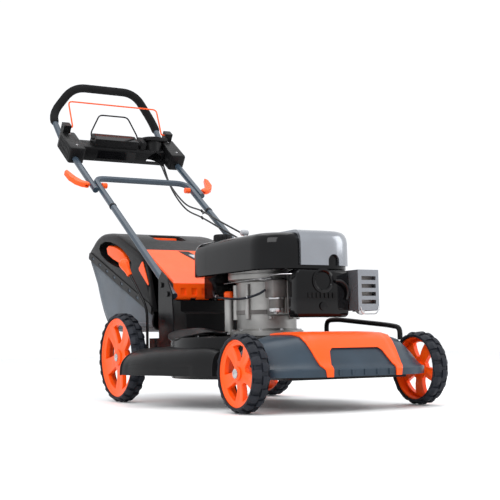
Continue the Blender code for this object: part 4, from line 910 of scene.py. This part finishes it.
# %% [markdown]
# ## Rear flap
# The orange flap is one moulding: a short upright face on the hinge, then a plate that runs back and up
# over the bag's mouth. Square recesses stiffen the face. They are cut, because they are flat-bottomed and
# crisp. A dark bare inlay crosses the plate. A torsion spring on the hinge rod keeps it shut.

# %% Flap, inlay and spring
HINGE = (0, 0.220, 0.308)  # a point on the hinge rod's middle line
FLAP = [
    (0.2185, 0.3080), (0.2245, 0.3500), (0.2290, 0.3525), (0.4300, 0.4650), (0.4300, 0.4690), (0.2275, 0.3565),
        (0.2205, 0.3520), (0.2145, 0.3080),
]


def on_flap(x, share, height=0.0):
    """A point on the flap's upper face: share runs from the fold to the rear edge."""
    return Vector((x, 0.2275 + 0.2025 * share - 0.4857 * height, 0.3565 + 0.1125 * share + 0.874 * height))


SQUARE_MIDDLES = (-0.134, -0.098, -0.064, 0.050, 0.086, 0.122)
SQUARE_HALF = 0.0085


def cut_squares(plate):
    """The six flat-bottomed recesses in the flap's upright face."""
    for x in SQUARE_MIDDLES:
        baked(plate, loose("square", block((x - SQUARE_HALF, 0.20, 0.3170), (x + SQUARE_HALF, 0.2198, 0.3370))))


flap = piece("flap_moulding", *prism(FLAP, -0.1645, 0.1645, "x"), ORANGE, None)
cut_squares(flap)
for x in (-0.140, 0.140):
    corner = loose("corner", prism([(x - 0.012, 0.30), (x + 0.012, 0.30), (x + 0.012, 0.3055),
        (x - 0.012, 0.3055)], 0.20, 0.24, "y"))
    baked(flap, corner)
barrels = [ring([(0.0062, end), (0.0062, start), (0.0036, start), (0.0036, end)], HINGE, "x", 24)
           for start, end in ((-0.1645, -0.112), (-0.092, -0.050), (-0.016, 0.018), (0.045, 0.092),
               (0.112, 0.1645))]
baked(flap, *[loose("knuckle", shape) for shape in barrels], operation="UNION")
face = loose("face_frame", prism([(0.2150, 0.3105), (0.2131, 0.3105), (0.2188, 0.3505), (0.2207, 0.3505)],
    -0.150, 0.150, "x"))
cut_squares(face)
dress(face, ORANGE, "flap", (), 0.0007, 34)
baked(flap, loose("rod_way", ring([(0.0036, 0.2), (0.0036, -0.2), (CORE, -0.2), (CORE, 0.2)], HINGE, "x", 20)))
dress(flap, ORANGE, "flap", ["rear_flap"], 0.0011, 34)
INLAY = [(-0.048, 0.97), (-0.012, 0.97), (0.062, 0.30), (0.020, 0.30)]
levels = [[on_flap(x, share, height) for x, share in INLAY] for height in (-0.0006, 0.0009)]
piece("flap_inlay_0", *stack(levels), BLACK, "flap", bevel=0.0004, slot="rear_flap")
marks = []
for step in range(3):
    middle_x, middle = -0.010 + 0.022 * step, 0.80 - 0.19 * step
    front, rear = middle + 0.060, middle - 0.040
    tile = [(middle_x - 0.013, front), (middle_x + 0.009, front), (middle_x + 0.017, rear),
        (middle_x - 0.005, rear)]
    marks.append(stack([[on_flap(x, share, height) for x, share in tile] for height in (0.0006, 0.0014)]))
piece("flap_blank_tiles", *joined(*marks), PALE, "flap", bevel=0.0003, slot="rear_flap")
ribs = []
for x in (-0.1615, 0.1585):
    ribs.append(stack([[on_flap(x, share, height), on_flap(x + 0.003, share, height),
        on_flap(x + 0.003, share, height + 0.002), on_flap(x, share, height + 0.002)] for share,
        height in ((0.02, -0.0005), (0.985, -0.0005))]))
piece("flap_edges", *joined(*ribs), ORANGE, "flap", bevel=0.0007, slot="rear_flap")
COIL = 0.0074  # radius of the spring's turns
coil = [Vector((-0.036 + 0.0016 * k / 10, HINGE[1] + COIL * cos(2 * pi * k / 10),
    HINGE[2] + COIL * sin(2 * pi * k / 10))) for k in range(81)]
coil = [Vector((-0.037, 0.2120, 0.3480)), Vector((-0.037, 0.2110, 0.330)),
    Vector((-0.0365, 0.2135, 0.3160))] + coil[12:78]
piece("flap_spring", *pipe(coil, 0.0009, 8), STEEL, "flap", slot="flap_hinge_rod")
print("flap is on")

# %% [markdown]
# ## Bag lid
# The stiff top of the grass bag is a domed black shell with a pocket in each side, a hand hole on top and
# a clip band along its lower edge. Its shape is a smooth outline repeated across the width, pulled in
# near the sides to round the shoulders. Pockets and the hole get liners, so no cut edge looks paper thin.

# %% Domed shell
LID_TOP = [
    (0.3262, 0.2620), (0.3450, 0.3150), (0.3680, 0.3820), (0.3890, 0.4320), (0.4180, 0.4530), (0.4600, 0.4720),
        (0.5100, 0.4920), (0.5600, 0.5120),
    (0.6100, 0.5290), (0.6600, 0.5405), (0.7050, 0.5450), (0.7450, 0.5430), (0.7850, 0.5300), (0.8150, 0.5110),
        (0.8350, 0.4920), (0.8410, 0.4800), (0.8380, 0.4700),
]
lid_curve = [(p.y, p.z) for p in smooth_path([(0, y, z) for y, z in LID_TOP], 58)]
LID_MIDDLE = (0.60, 0.40)


def lid_outline(inset):
    """The lid's outline, pulled in along its own normals; the ends on the clip band stay on the band."""
    made = []
    for index, (y, z) in enumerate(lid_curve):
        before, after = lid_curve[max(0, index - 1)], lid_curve[min(len(lid_curve) - 1, index + 1)]
        ay, az = after[0] - before[0], after[1] - before[1]
        size = hypot(ay, az)
        share = min(1, (y - 0.3262) / 0.05, (0.855 - y) / 0.05) if 0 < index < len(lid_curve) - 1 else 0.25
        made.append((y + az / size * inset * max(0.25, share), z - ay / size * inset * max(0.25, share)))
    return made


def lid_stack(half, inset=0.0):
    """The dome across its width, with rounded shoulders."""
    levels = [(-half, 0.0200), (-half + 0.0012, 0.0125), (-half + 0.005, 0.0060), (-half + 0.012, 0.0018),
        (-half + 0.024, 0.0)]
    levels += [(-x, margin) for x, margin in reversed(levels)]
    return stack([[Vector((x, y, z)) for y, z in lid_outline(margin + inset)] for x, margin in levels])


POCKET = [
    (0.748, 0.497), (0.738, 0.509), (0.700, 0.516), (0.650, 0.511), (0.600, 0.498), (0.550, 0.478),
        (0.505, 0.452), (0.480, 0.428),
    (0.484, 0.416), (0.510, 0.411), (0.560, 0.416), (0.620, 0.430), (0.680, 0.449), (0.730, 0.474),
]


def swollen(outline, amount):
    """An outline pushed away from its own middle."""
    my, mz = sum(y for y, z in outline) / len(outline), sum(z for y, z in outline) / len(outline)
    return [(y + (y - my) / hypot(y - my, z - mz) * amount, z + (z - mz) / hypot(y - my, z - mz) * amount)
        for y, z in outline]


lid = piece("lid_dome", *lid_stack(0.185), BLACK, None)
hollow = mapped(lid_stack(0.181, 0.004), lambda p: Vector((p.x, p.y, p.z - 0.0002)))
under = prism([(0.30, 0.2595), (0.345, 0.2765), (0.828, 0.4728), (0.90, 0.40), (0.60, 0.10), (0.30, 0.10)],
    -0.180, 0.180, "x")
front_way = prism([(0.30, 0.24), (0.36, 0.265), (0.392, 0.410), (0.36, 0.410)], -0.166, 0.166, "x")
hole = rounded_box(-0.056, 0.056, 0.566, 0.640, (0.014, 0.014, 0.014, 0.014), 5)
baked(lid, loose("lid_hollow", hollow), loose("lid_under", under), loose("lid_mouth", front_way),
      loose("hand_hole", prism(hole, 0.45, 0.60)),
      loose("right_pocket", prism(POCKET, -0.30, -0.150, "x")),
          loose("left_pocket", prism(POCKET, 0.150, 0.30, "x")))
dress(lid, BLACK, "bag", ["bag_lid"], 0.0010, 32)
print("lid has", len(lid.data.polygons), "faces")

# %% Liners, carry strips, clip band and accents


def lined(outlines):
    """A thin cup from six outlines: three down its inside, three back up its outside."""
    points, faces = stack(outlines)
    count = len(outlines[0])

    def is_floor_wall(face):
        return min(face) // count == 2 and max(face) // count == 3

    walls = [face for face in faces if len(face) == 4 and not is_floor_wall(face)]
    rim_faces = []
    for index in range(count):
        after = (index + 1) % count
        rim_faces.append((index, after, 5 * count + after, 5 * count + index))
    floors = [tuple(range(2 * count, 3 * count)), tuple(range(3 * count, 4 * count))]
    return points, walls + rim_faces + floors


for side, word in ((-1, "right"), (1, "left")):
    outer_face, back_face = 0.1838 * side, 0.156 * side
    liner = [[Vector((x, y, z)) for y, z in swollen(POCKET, swell)] for x, swell in (
        (outer_face, 0.0012), (0.170 * side, 0.0010), (back_face, -0.004),
        (back_face - 0.0025 * side, -0.004), (0.168 * side, 0.0030), (outer_face, 0.0030))]
    piece(f"pocket_liner_{word}", *lined(liner), BLACK, "bag", angle=40, slot="bag_lid")
    grip = [(0.706, 0.496), (0.690, 0.503), (0.645, 0.499), (0.600, 0.487), (0.560, 0.468), (0.545, 0.452),
        (0.556, 0.433), (0.600, 0.436), (0.655, 0.452), (0.698, 0.474)]
    levels = [(0.159 * side, 0.0), (0.172 * side, -0.001), (0.1775 * side, -0.006), (0.1790 * side, -0.012)]
    piece(f"pocket_grip_{word}", *stack([[Vector((x, y, z)) for y, z in swollen(grip, swell)] for x,
        swell in levels]), ORANGE, "bag", bevel=0.0008, angle=30, slot="bag_lid")
    wedge = [(0.3935, 0.4280), (0.4020, 0.4260), (0.4240, 0.4090), (0.4200, 0.4010), (0.3560, 0.3520),
        (0.3520, 0.3560)]
    piece(f"lid_wedge_{word}", *prism(wedge, 0.1835 * side, 0.1862 * side, "x"), ORANGE, "bag", bevel=0.0006,
        slot="bag_lid")
    slope = atan2(0.208, 0.5118)

    def on_band(at, up):
        return (0.3262 + at * cos(slope) - up * sin(slope), 0.2620 + at * sin(slope) + up * cos(slope))

    strip = [on_band(0.006, -0.001), on_band(0.548, -0.001), on_band(0.552, 0.004), on_band(0.552, 0.019),
        on_band(0.546, 0.024), on_band(0.030, 0.024), on_band(0.010, 0.018)]
    band_piece = piece(f"clip_band_{word}", *prism(strip, 0.1820 * side, 0.1878 * side, "x"), BLACK, None)
    slots = []
    for step in range(8):
        at = 0.045 + 0.0655 * step
        slots.append(prism([on_band(at, 0.0065), on_band(at + 0.017, 0.0065), on_band(at + 0.019, 0.0085),
            on_band(at + 0.019, 0.0150), on_band(at + 0.017, 0.0165), on_band(at, 0.0165),
            on_band(at - 0.002, 0.0150), on_band(at - 0.002, 0.0085)], 0.1862 * side, 0.20 * side, "x"))
    baked(band_piece, *[loose("clip_slot", shape) for shape in slots])
    dress(band_piece, BLACK, "bag", (), 0.0007, 36)
    tabs = [prism([on_band(at + 0.001, 0.0080), on_band(at + 0.016, 0.0080), on_band(at + 0.016, 0.0150),
        on_band(at + 0.001, 0.0150)], 0.1855 * side, 0.1869 * side, "x")
        for at in [0.045 + 0.0655 * step for step in range(8)]]
    piece(f"clip_tabs_{word}", *joined(*tabs), SLATE, "bag", bevel=0.0004, slot="bag_lid")


def tub(shrink, z):
    """The hand hole's outline at a depth, tilted with the lid."""
    return [Vector((x * (1 - shrink), 0.603 + (y - 0.603) * (1 - shrink), min(z + (y - 0.603) * 0.30, 0.5405)))
        for x, y in hole]


tub_levels = ((-0.012, 0.5235), (0.0, 0.500), (0.06, 0.4750), (0.09, 0.4720), (0.02, 0.4980), (0.045, 0.5220))
tub_shape = lined([tub(shrink, z) for shrink, z in tub_levels])
piece("hand_hole_liner", *tub_shape, BLACK, "bag", angle=40, slot="bag_lid")
front_strip = prism([(0.5600, 0.5105), (0.5700, 0.5145), (0.5720, 0.5090), (0.5640, 0.5040)], -0.048, 0.048,
    "x")
rear_strip = prism([(0.6330, 0.5270), (0.6385, 0.5290), (0.6385, 0.5180), (0.6330, 0.5170)], -0.044, 0.050, "x")
piece("carry_strips", *joined(front_strip, rear_strip), ORANGE, "bag", bevel=0.0008, slot="bag_lid")
print("lid is furnished")

# %% [markdown]
# ## Grass bag cloth
# The sack hangs from the clip band on both sides and runs under the grass in one piece. It is a loft: at
# each station a line drops from the band, rounds the lower corner, crosses the bottom and climbs again.
# Slack shows as shallow hollows between the clips and a belly in the floor, so those are added as small
# moves. That is quicker than a simulation.

# %% The sagging sack
random.seed(11)
KEEL = [(0.3330, 0.2180), (0.3700, 0.2150), (0.4500, 0.2142), (0.5600, 0.2142), (0.6400, 0.2155),
    (0.6850, 0.2250), (0.7200, 0.2560), (0.7500, 0.2960), (0.7800, 0.3480), (0.8020, 0.4000), (0.8200, 0.4440),
    (0.8340, 0.4655)]
BAND = [(0.3262, 0.2600), (0.8370, 0.4676)]
STATIONS, AROUND = 56, 76
keel = smooth_path([(0, y, z) for y, z in KEEL], STATIONS)
waves = [(random.uniform(6, 19), random.uniform(0, 6.28), random.uniform(0.35, 1.0)) for _ in range(7)]
sack_rows = []
for station, low in enumerate(keel):
    share = station / (STATIONS - 1)
    high = Vector((0, BAND[0][0] + (BAND[1][0] - BAND[0][0]) * share,
        BAND[0][1] + (BAND[1][1] - BAND[0][1]) * share))
    drop = low - high
    deep = drop.length
    half, corner = 0.1815, min(0.034, deep * 0.45)
    line = []
    across = [(-half, deep * k / 16 * (1 - corner / max(deep, 1e-6))) for k in range(17)]
    across += [(-half + corner - corner * cos(t * pi / 14), deep - corner + corner * sin(t * pi / 14))
        for t in range(1, 8)]
    flat_run = 2 * (half - corner)
    across += [(-half + corner + flat_run * k / 28, deep) for k in range(1, 29)]
    across += [(half - corner + corner * sin(t * pi / 14), deep - corner + corner * cos(t * pi / 14))
        for t in range(1, 8)]
    across += [(half, (deep - corner) * (1 - k / 16)) for k in range(1, 17)]
    for x, down in across:
        fall = down / max(deep, 1e-6)
        place = high + drop * fall
        wave = sum(size * sin(rate * (share * 1.7 + fall * 0.6) + phase + 9 * x) for rate, phase,
            size in waves) / 7
        bulge = sin(pi * min(1, fall)) * sin(pi * min(1, share * 1.02)) if abs(x) > half - 0.001 else 0
        scallop = 0.0016 * abs(sin(pi * 8 * share)) * max(0, 1 - fall * 4)
        inward = (0.0035 * bulge + 0.0022 * wave * sin(pi * fall) ** 0.5 + scallop) if abs(x) > half - 0.001 else 0.0
        belly = (1 - (abs(x) / half) ** 2) if abs(x) < half else 0
        line.append(Vector((
            x - inward * (1 if x > 0 else -1),
            place.y + 0.004 * belly * max(0, share - 0.5) * wave,
            place.z - 0.0045 * belly * (0.6 + 0.4 * wave) * (1 - share) + 0.002 * wave * belly * share,
        )))
    sack_rows.append(line)
sack = piece("sack_cloth", *grid(sack_rows), CLOTH, None)
cloth = sack.modifiers.new("cloth depth", "SOLIDIFY")
cloth.thickness = 0.0012
cloth.offset = 0
dress(sack, CLOTH, "bag", ["bag_cloth"], 0, 60)

# %% Piping, seams and the wire at the mouth
piping = []
for column in (19, len(sack_rows[0]) - 20):
    line = [rows[column] + Vector((0.0006 * (1 if rows[column].x > 0 else -1), 0, -0.0006))
        for rows in sack_rows[1:-1]]
    piping.append(pipe(line, 0.0017, 8))
mouth = [point.copy() for point in sack_rows[0]]
piping.append(pipe(mouth, 0.0030, 10))
piece("sack_piping", *joined(*piping), BLACK, "bag", slot="bag_cloth")
stitches = []
for column, shift in ((17, 0.0012), (len(sack_rows[0]) - 18, 0.0012)):
    line = [rows[column] for rows in sack_rows[2:-2]]
    dense = smooth_path(line, 260)
    for index in range(0, 256, 4):
        outward = Vector((0.0007 * (1 if dense[index].x > 0 else -1), 0, 0))
        stitches.append(pipe([dense[index] + outward, dense[index + 1] + outward * 1.5,
            dense[index + 2] + outward], 0.00045, 5))
piece("sack_stitches", *joined(*stitches), PALE, "bag", slot="bag_cloth")
print("sack is sewn")

# %% [markdown]
# ## Side discharge
# A spring flap covers the opening in the deck's side. Under it sits the scoop that throws the cut grass
# clear. The flap is a rubbery leaf with raised ribs and a drooping edge. The scoop is a smooth hood whose
# section changes from narrow at the front to wide at its mouth, so it is lofted.

# %% Ribbed leaf
LEAF_LINE = -0.1805  # x of the line where the leaf leaves its hinge
LEAF = [(-0.138, -0.182), (-0.134, -0.212), (-0.118, -0.236), (-0.098, -0.2515), (-0.066, -0.264),
    (-0.030, -0.2715), (0.005, -0.2720), (0.040, -0.2675), (0.072, -0.256), (0.100, -0.238), (0.116, -0.214),
    (0.122, -0.182)]
leaf_edge = smooth_path([(y, x, 0) for y, x in LEAF], 97)
leaf_rows = []
for step in range(25):
    share = step / 24
    line = []
    for point in leaf_edge:
        y, outer = point.x, point.y
        x = LEAF_LINE + (outer - LEAF_LINE) * share
        out = (LEAF_LINE - x) / 0.092
        rib = max(0.0, cos(2 * pi * (y + 0.138) / 0.0150)) ** 0.6 * min(1,
            max(0, (share - 0.10) / 0.08)) * min(1, max(0,
            (0.93 - share) / 0.06)) * (abs(outer - LEAF_LINE) > 0.03)
        droop = 0.0125 * out**2 * (0.75 + 0.45 * cos(2 * pi * (y - 0.012) / 0.20))
        crown = 0.017 * sin(pi * min(1, out / 0.85)) ** 1.2 * sin(pi * min(1,
            max(0, (y + 0.140) / 0.264))) ** 0.6 if out > 0 else 0
        line.append(Vector((x, y, 0.1985 - droop + 0.0016 * rib + crown)))
    leaf_rows.append(line)
leaf = piece("leaf", *grid(leaf_rows, -0.0026), BLACK, None)
knuckles = [ring([(0.0060, end), (0.0060, start), (0.0032, start), (0.0032, end)], (-0.178, 0, 0.1968), "y",
    20) for start, end in ((-0.130, -0.070), (-0.040, 0.030), (0.060, 0.120))]
dress(leaf, BLACK, "side_door", ["side_flap"], 0, 40)
piece("leaf_knuckles", *joined(*knuckles), BLACK, "side_door", bevel=0.0006, slot="side_flap")
piece("leaf_pin", *pipe([(-0.178, -0.134, 0.1968), (-0.178, 0.0, 0.1968), (-0.178, 0.124, 0.1968)], 0.0024, 12),
    STEEL, "frame", slot="flap_hinge_rod")

# %% Scoop
SCOOP_FOOT = 0.0870  # height of the skirt's lower edge
SCOOP = [  # y, inner x, outer x, top
    (-0.2040, -0.2352, -0.2660, 0.1500), (-0.1700, -0.2325, -0.2770, 0.1590),
        (-0.1300, -0.2292, -0.2895, 0.1640), (-0.0800, -0.2252, -0.3030, 0.1658),
        (-0.0300, -0.2212, -0.3160, 0.1660),
    (0.0200, -0.2172, -0.3290, 0.1660), (0.0700, -0.2130, -0.3405, 0.1655), (0.1150, -0.2095, -0.3475, 0.1640),
        (0.1500, -0.2067, -0.3508, 0.1625), (0.1760, -0.2050, -0.3520, 0.1615),
]
scoop_rows = []
fine = smooth_path([(y, inner, outer) for y, inner, outer, top in SCOOP], 49)
tops = smooth_path([(y, top, 0) for y, inner, outer, top in SCOOP], 49)
for station, level in zip(fine, tops):
    line = []
    for step in range(41):
        turn = pi / 2 * step / 40
        a, h = sin(turn) ** (2 / 2.9), cos(turn) ** (2 / 2.9)
        z = SCOOP_FOOT + (level.y - SCOOP_FOOT) * h
        x = station.y + (station.z - station.y) * a
        groove = 0.0018 * (0.5 + 0.5 * cos(2 * pi * (z - 0.0945) / 0.0085)) if 0.0900 < z < 0.1180 and -0.13 < station.x < 0.15 else 0
        line.append(Vector((x + groove, station.x + 0.008 * a * max(0, (station.x - 0.10) / 0.08), z)))
    scoop_rows.append(line)
scoop = piece("scoop_hood", *grid(scoop_rows, 0.0028), BLACK, None)
inside_out = sum(1 for vertex in scoop.data.vertices if vertex.co.z > 0.1668)
if inside_out > 40:
    bpy.data.objects.remove(scoop)
    scoop = piece("scoop_hood", *grid(scoop_rows, -0.0028), BLACK, None)
dress(scoop, BLACK, "chute", ["side_chute"], 0, 42)
mouth_line = [point + Vector((0, 0.001, -0.0010)) for point in scoop_rows[-1]]
nose_line = scoop_rows[0]
front_wall = grid([[Vector((p.x, p.y - 0.0004, p.z)) for p in nose_line],
    [Vector((nose_line[0].x, nose_line[0].y - 0.0004, SCOOP_FOOT)) for p in nose_line]], 0.002)
piece("scoop_lip", *joined(pipe(mouth_line, 0.0030, 10), front_wall), BLACK, "chute", slot="side_chute")
hook = [block((-0.2250, y, 0.1600), (-0.2100, y + 0.012, 0.1720)) for y in (-0.075, 0.060)]
piece("scoop_hooks", *joined(*hook), BLACK, "chute", bevel=0.0012, slot="side_chute")
print("side discharge is on")

# %% [markdown]
# ## Handle, grip and cables
# Foam covers the bent top of the handle. The two control cables leave the console, follow the left tube
# in slack curves and are held by clips. Each cable is made in lengths that meet in a clip, so that a
# length crosses only one fold of the handle.

# %% Foam grip
TILT = radians(35)


def along(s, n=0.0, x=0.0):
    """A point measured along the handle tubes: s up the tube, n square to it."""
    return Vector((x, 0.197 + s * cos(TILT) - n * sin(TILT), 0.318 + s * sin(TILT) + n * cos(TILT)))


loop = [along(0.655, 0, -0.2015), along(1.050, 0, -0.2015), (-0.207, 1.150, 1.030), (-0.125, 1.142, 1.140),
    (0.125, 1.142, 1.140), (0.207, 1.150, 1.030), along(1.050, 0, 0.2015), along(0.655, 0, 0.2015)]
bend = rounded_path(loop, [0.014, 0.05, 0.05, 0.05, 0.05, 0.014], 10)
upper = []
for first, second in zip(bend, bend[1:]):
    pieces_between = max(1, int((second - first).length / 0.010))
    upper += [first.lerp(second, k / pieces_between) for k in range(pieces_between)]
foam_path = [point for point in upper if point.z > 0.985]


def foam_size(share):
    """The sleeve's radius: rolled in at both ends, with a faint unevenness between."""
    return 0.0155 - 0.0030 * max(0, 1 - min(share, 1 - share) * 90) + 0.00018 * sin(share * 211)


foam = piece("foam_sleeve", *pipe(foam_path, foam_size, 24), FOAM, "upper_handle_body", ["hand_grip"], 0, 40)
print("foam runs over", round(sum((b - a).length for a, b in zip(foam_path, foam_path[1:])), 3), "m")

# %% Control cables
CABLE = 0.003  # radius of both cables
STOP_SPLICE, DRIVE_SPLICE = (0.152, 0.640, 0.628), (0.158, 0.650, 0.606)  # where the lengths meet in the clip
DRIVE_TAIL = (0.213, 0.300, 0.400)  # where the drive cable turns down beside the tunnel


def part_of(path, start, stop):
    """The stretch of a path between the points nearest to two places, ends included."""
    a, b = (min(range(len(path)), key=lambda k: (path[k] - Vector(place)).length) for place in (start, stop))
    return path[a:b + 1]


def cable(name, path, stands_for):
    """One length of cable, tied to no body. The length it returns is that of its route."""
    made = piece(name, *pipe(path, CABLE, 12), SHEATH, None, stands_for, 0, 50)
    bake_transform(made)
    length = sum((b - a).length for a, b in zip(path, path[1:]))
    return length


stop_route = smooth_path([
    along(0.9442, -0.012, 0.150), along(0.915, -0.014, 0.149), (0.148, 0.880, 0.750), (0.154, 0.770, 0.668),
        STOP_SPLICE, (0.152, 0.500, 0.575),
    (0.1705, 0.360, 0.515), (0.1735, 0.260, 0.470), (0.1715, 0.180, 0.435), (0.160, 0.090, 0.405),
        (0.1484, 0.010, 0.395)], 112)
drive_route = smooth_path([
    along(0.9442, -0.012, 0.160), along(0.915, -0.016, 0.159), (0.157, 0.885, 0.735), (0.160, 0.780, 0.652),
        DRIVE_SPLICE, (0.156, 0.520, 0.558), (0.182, 0.380, 0.490),
    DRIVE_TAIL, (0.214, 0.300, 0.290), (0.214, 0.345, 0.205), (0.185, 0.372, 0.178),
        (0.110, 0.378, 0.176), (0.062, 0.391, 0.1502), (0.0407, 0.392, 0.150)], 144)
lengths = [
    cable("stop_cable_upper", part_of(stop_route, stop_route[0], STOP_SPLICE),
        ["stop_cable"]),
    cable("stop_cable_lower", part_of(stop_route, STOP_SPLICE, stop_route[-1]),
        []),
    cable("drive_cable_upper", part_of(drive_route, drive_route[0], DRIVE_SPLICE),
        ["drive_cable"]),
    cable("drive_cable_middle", part_of(drive_route, DRIVE_SPLICE, DRIVE_TAIL),
        []),
    cable("drive_cable_lower", part_of(drive_route, DRIVE_TAIL, drive_route[-1]),
        []),
]
print("cable lengths", [round(length, 3) for length in lengths])

# %% Clips, ferrules and bolts on the handle
tube_turn = Vector((0, cos(TILT), sin(TILT))).to_track_quat("Z", "Y")


def strap(place, radius, width):
    """A band clipped round a handle tube."""
    shape = ring([(radius + 0.0014, width), (radius + 0.0014, -width), (radius + 0.0002, -width),
        (radius + 0.0002, width)], (0, 0, 0), "z", 24)
    return mapped(shape, lambda p: tube_turn @ p + Vector(place))


clip_parts = [
    strap(along(0.541, 0, 0.179), 0.011, 0.005), strap(STOP_SPLICE, CABLE, 0.006),
        strap(DRIVE_SPLICE, CABLE, 0.006),
    pipe([(0.1668, 0.640, 0.6240), (0.1600, 0.643, 0.6210), (0.1555, 0.645, 0.6180)], 0.0022, 10),
    strap(along(0.541, 0, -0.179), 0.011, 0.004),
]
piece("cable_clip", *joined(*clip_parts), BLACK, "lower_handle_body", bevel=0.0004, slot="stop_cable")
ferrules = [pipe([stop_route[-1] + Vector((0.0005, -0.001, 0)), stop_route[-3], stop_route[-5]], 0.0042, 14)]
piece("cable_ferrule", *joined(*ferrules), STEEL, "frame", slot="flap_hinge_rod")
guides = [pipe([route[0] + (route[0] - route[1]).normalized() * 0.001, route[1], route[3]],
    lambda share: 0.0056 - 0.0018 * share, 14) for route in (stop_route, drive_route)]
piece("cable_boots", *joined(*guides), BLACK, "upper_handle_body", slot="console")
print("cables are clipped")

# %% [markdown]
# ## Console and small hardware
# The console carries a gloss bare panel and a ribbed thumb pad. Bolts hold the handle's feet to the deck.
# The height knob is a fluted pear shape on its lever, which a turned ring cannot give alone. So each
# outline of its stack has its own scalloped radius.

# %% Console trim
def in_handle(low, high):
    """A block measured along the handle: x, s and n."""
    return mapped(block(low, high), lambda p: along(p.y, p.z, p.x))


piece("console_plate", *in_handle((-0.108, 0.9515, 0.0553), (0.046, 1.0015, 0.0572)), GLOSS,
    "upper_handle_body", bevel=0.0008, slot="console")
piece("console_front_plate", *in_handle((-0.100, 0.9436, -0.016), (0.050, 0.9455, 0.018)), GLOSS,
    "upper_handle_body", bevel=0.0008, slot="console")
pads = [in_handle((0.0685 + 0.0045 * k, 0.956, 0.0555), (0.0710 + 0.0045 * k, 0.998, 0.0570)) for k in range(4)]
piece("console_ribs", *joined(*pads), BLACK, "upper_handle_body", bevel=0.0005, slot="console")
pod_ribs = [in_handle((side * 0.2265 - 0.0009, 0.905 + 0.0125 * k, -0.012),
    (side * 0.2265 + 0.0009, 0.910 + 0.0125 * k, 0.036)) for side in (-1, 1) for k in range(9)]
piece("pod_ribs", *joined(*pod_ribs), BLACK, "upper_handle_body", bevel=0.0005, slot="console")
screws = [mapped(bolt((0, 0, 0), (0, -sin(TILT), cos(TILT)), 0.0032, 0.0022), lambda p, x=x,
    s=s: p + along(s, 0.0440, x)) for x, s in ((-0.196, 0.915), (0.196, 0.915), (-0.196, 1.005),
    (0.196, 1.005))]
piece("console_screws", *joined(*screws), STEEL, "upper_handle_body", slot="flap_hinge_rod")
print("console is trimmed")

# %% Knob, deck bolts and bracket nuts
knob_low, knob_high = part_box("height_knob")
knob_middle = (knob_low + knob_high) / 2 - SHIFT
lean_on = (Vector((-0.230, 0.386, 0.384)) - Vector((-0.2039, 0.324, 0.280))).normalized()
knob_turn = lean_on.to_track_quat("Z", "Y")
outlines = []
for z, reach, flute in ((-0.029, 0.0070, 0), (-0.026, 0.0085, 0), (-0.018, 0.0088, 0.02),
    (-0.008, 0.0105, 0.07), (0.002, 0.0138, 0.12), (0.011, 0.0160, 0.13), (0.018, 0.0163, 0.12),
    (0.024, 0.0140, 0.08), (0.0275, 0.0095, 0.03), (0.0290, 0.0040, 0)):
    outline = []
    for k in range(48):
        swing = 2 * pi * k / 48
        wide = reach * (1 - flute * (0.5 + 0.5 * cos(8 * swing)) ** 2)
        outline.append(knob_turn @ Vector((wide * cos(swing), wide * sin(swing), z)) + knob_middle)
    outlines.append(outline)
piece("knob_pear", *stack(outlines), ORANGE, "rear_carrier", ["height_knob"], 0, 50)
deck_bolts = [bolt((x, y, 0.1904), (0, 0, 1), 0.0055) for x in (-0.1300, 0.1300) for y in (0.1250, 0.1560)]
deck_bolts += [bolt((x, -0.262, 0.1904), (0, 0, 1), 0.0050) for x in (-0.090, 0.090)]
piece("deck_bolts", *joined(*deck_bolts), STEEL, "frame", slot="flap_hinge_rod")
print("small hardware is on")
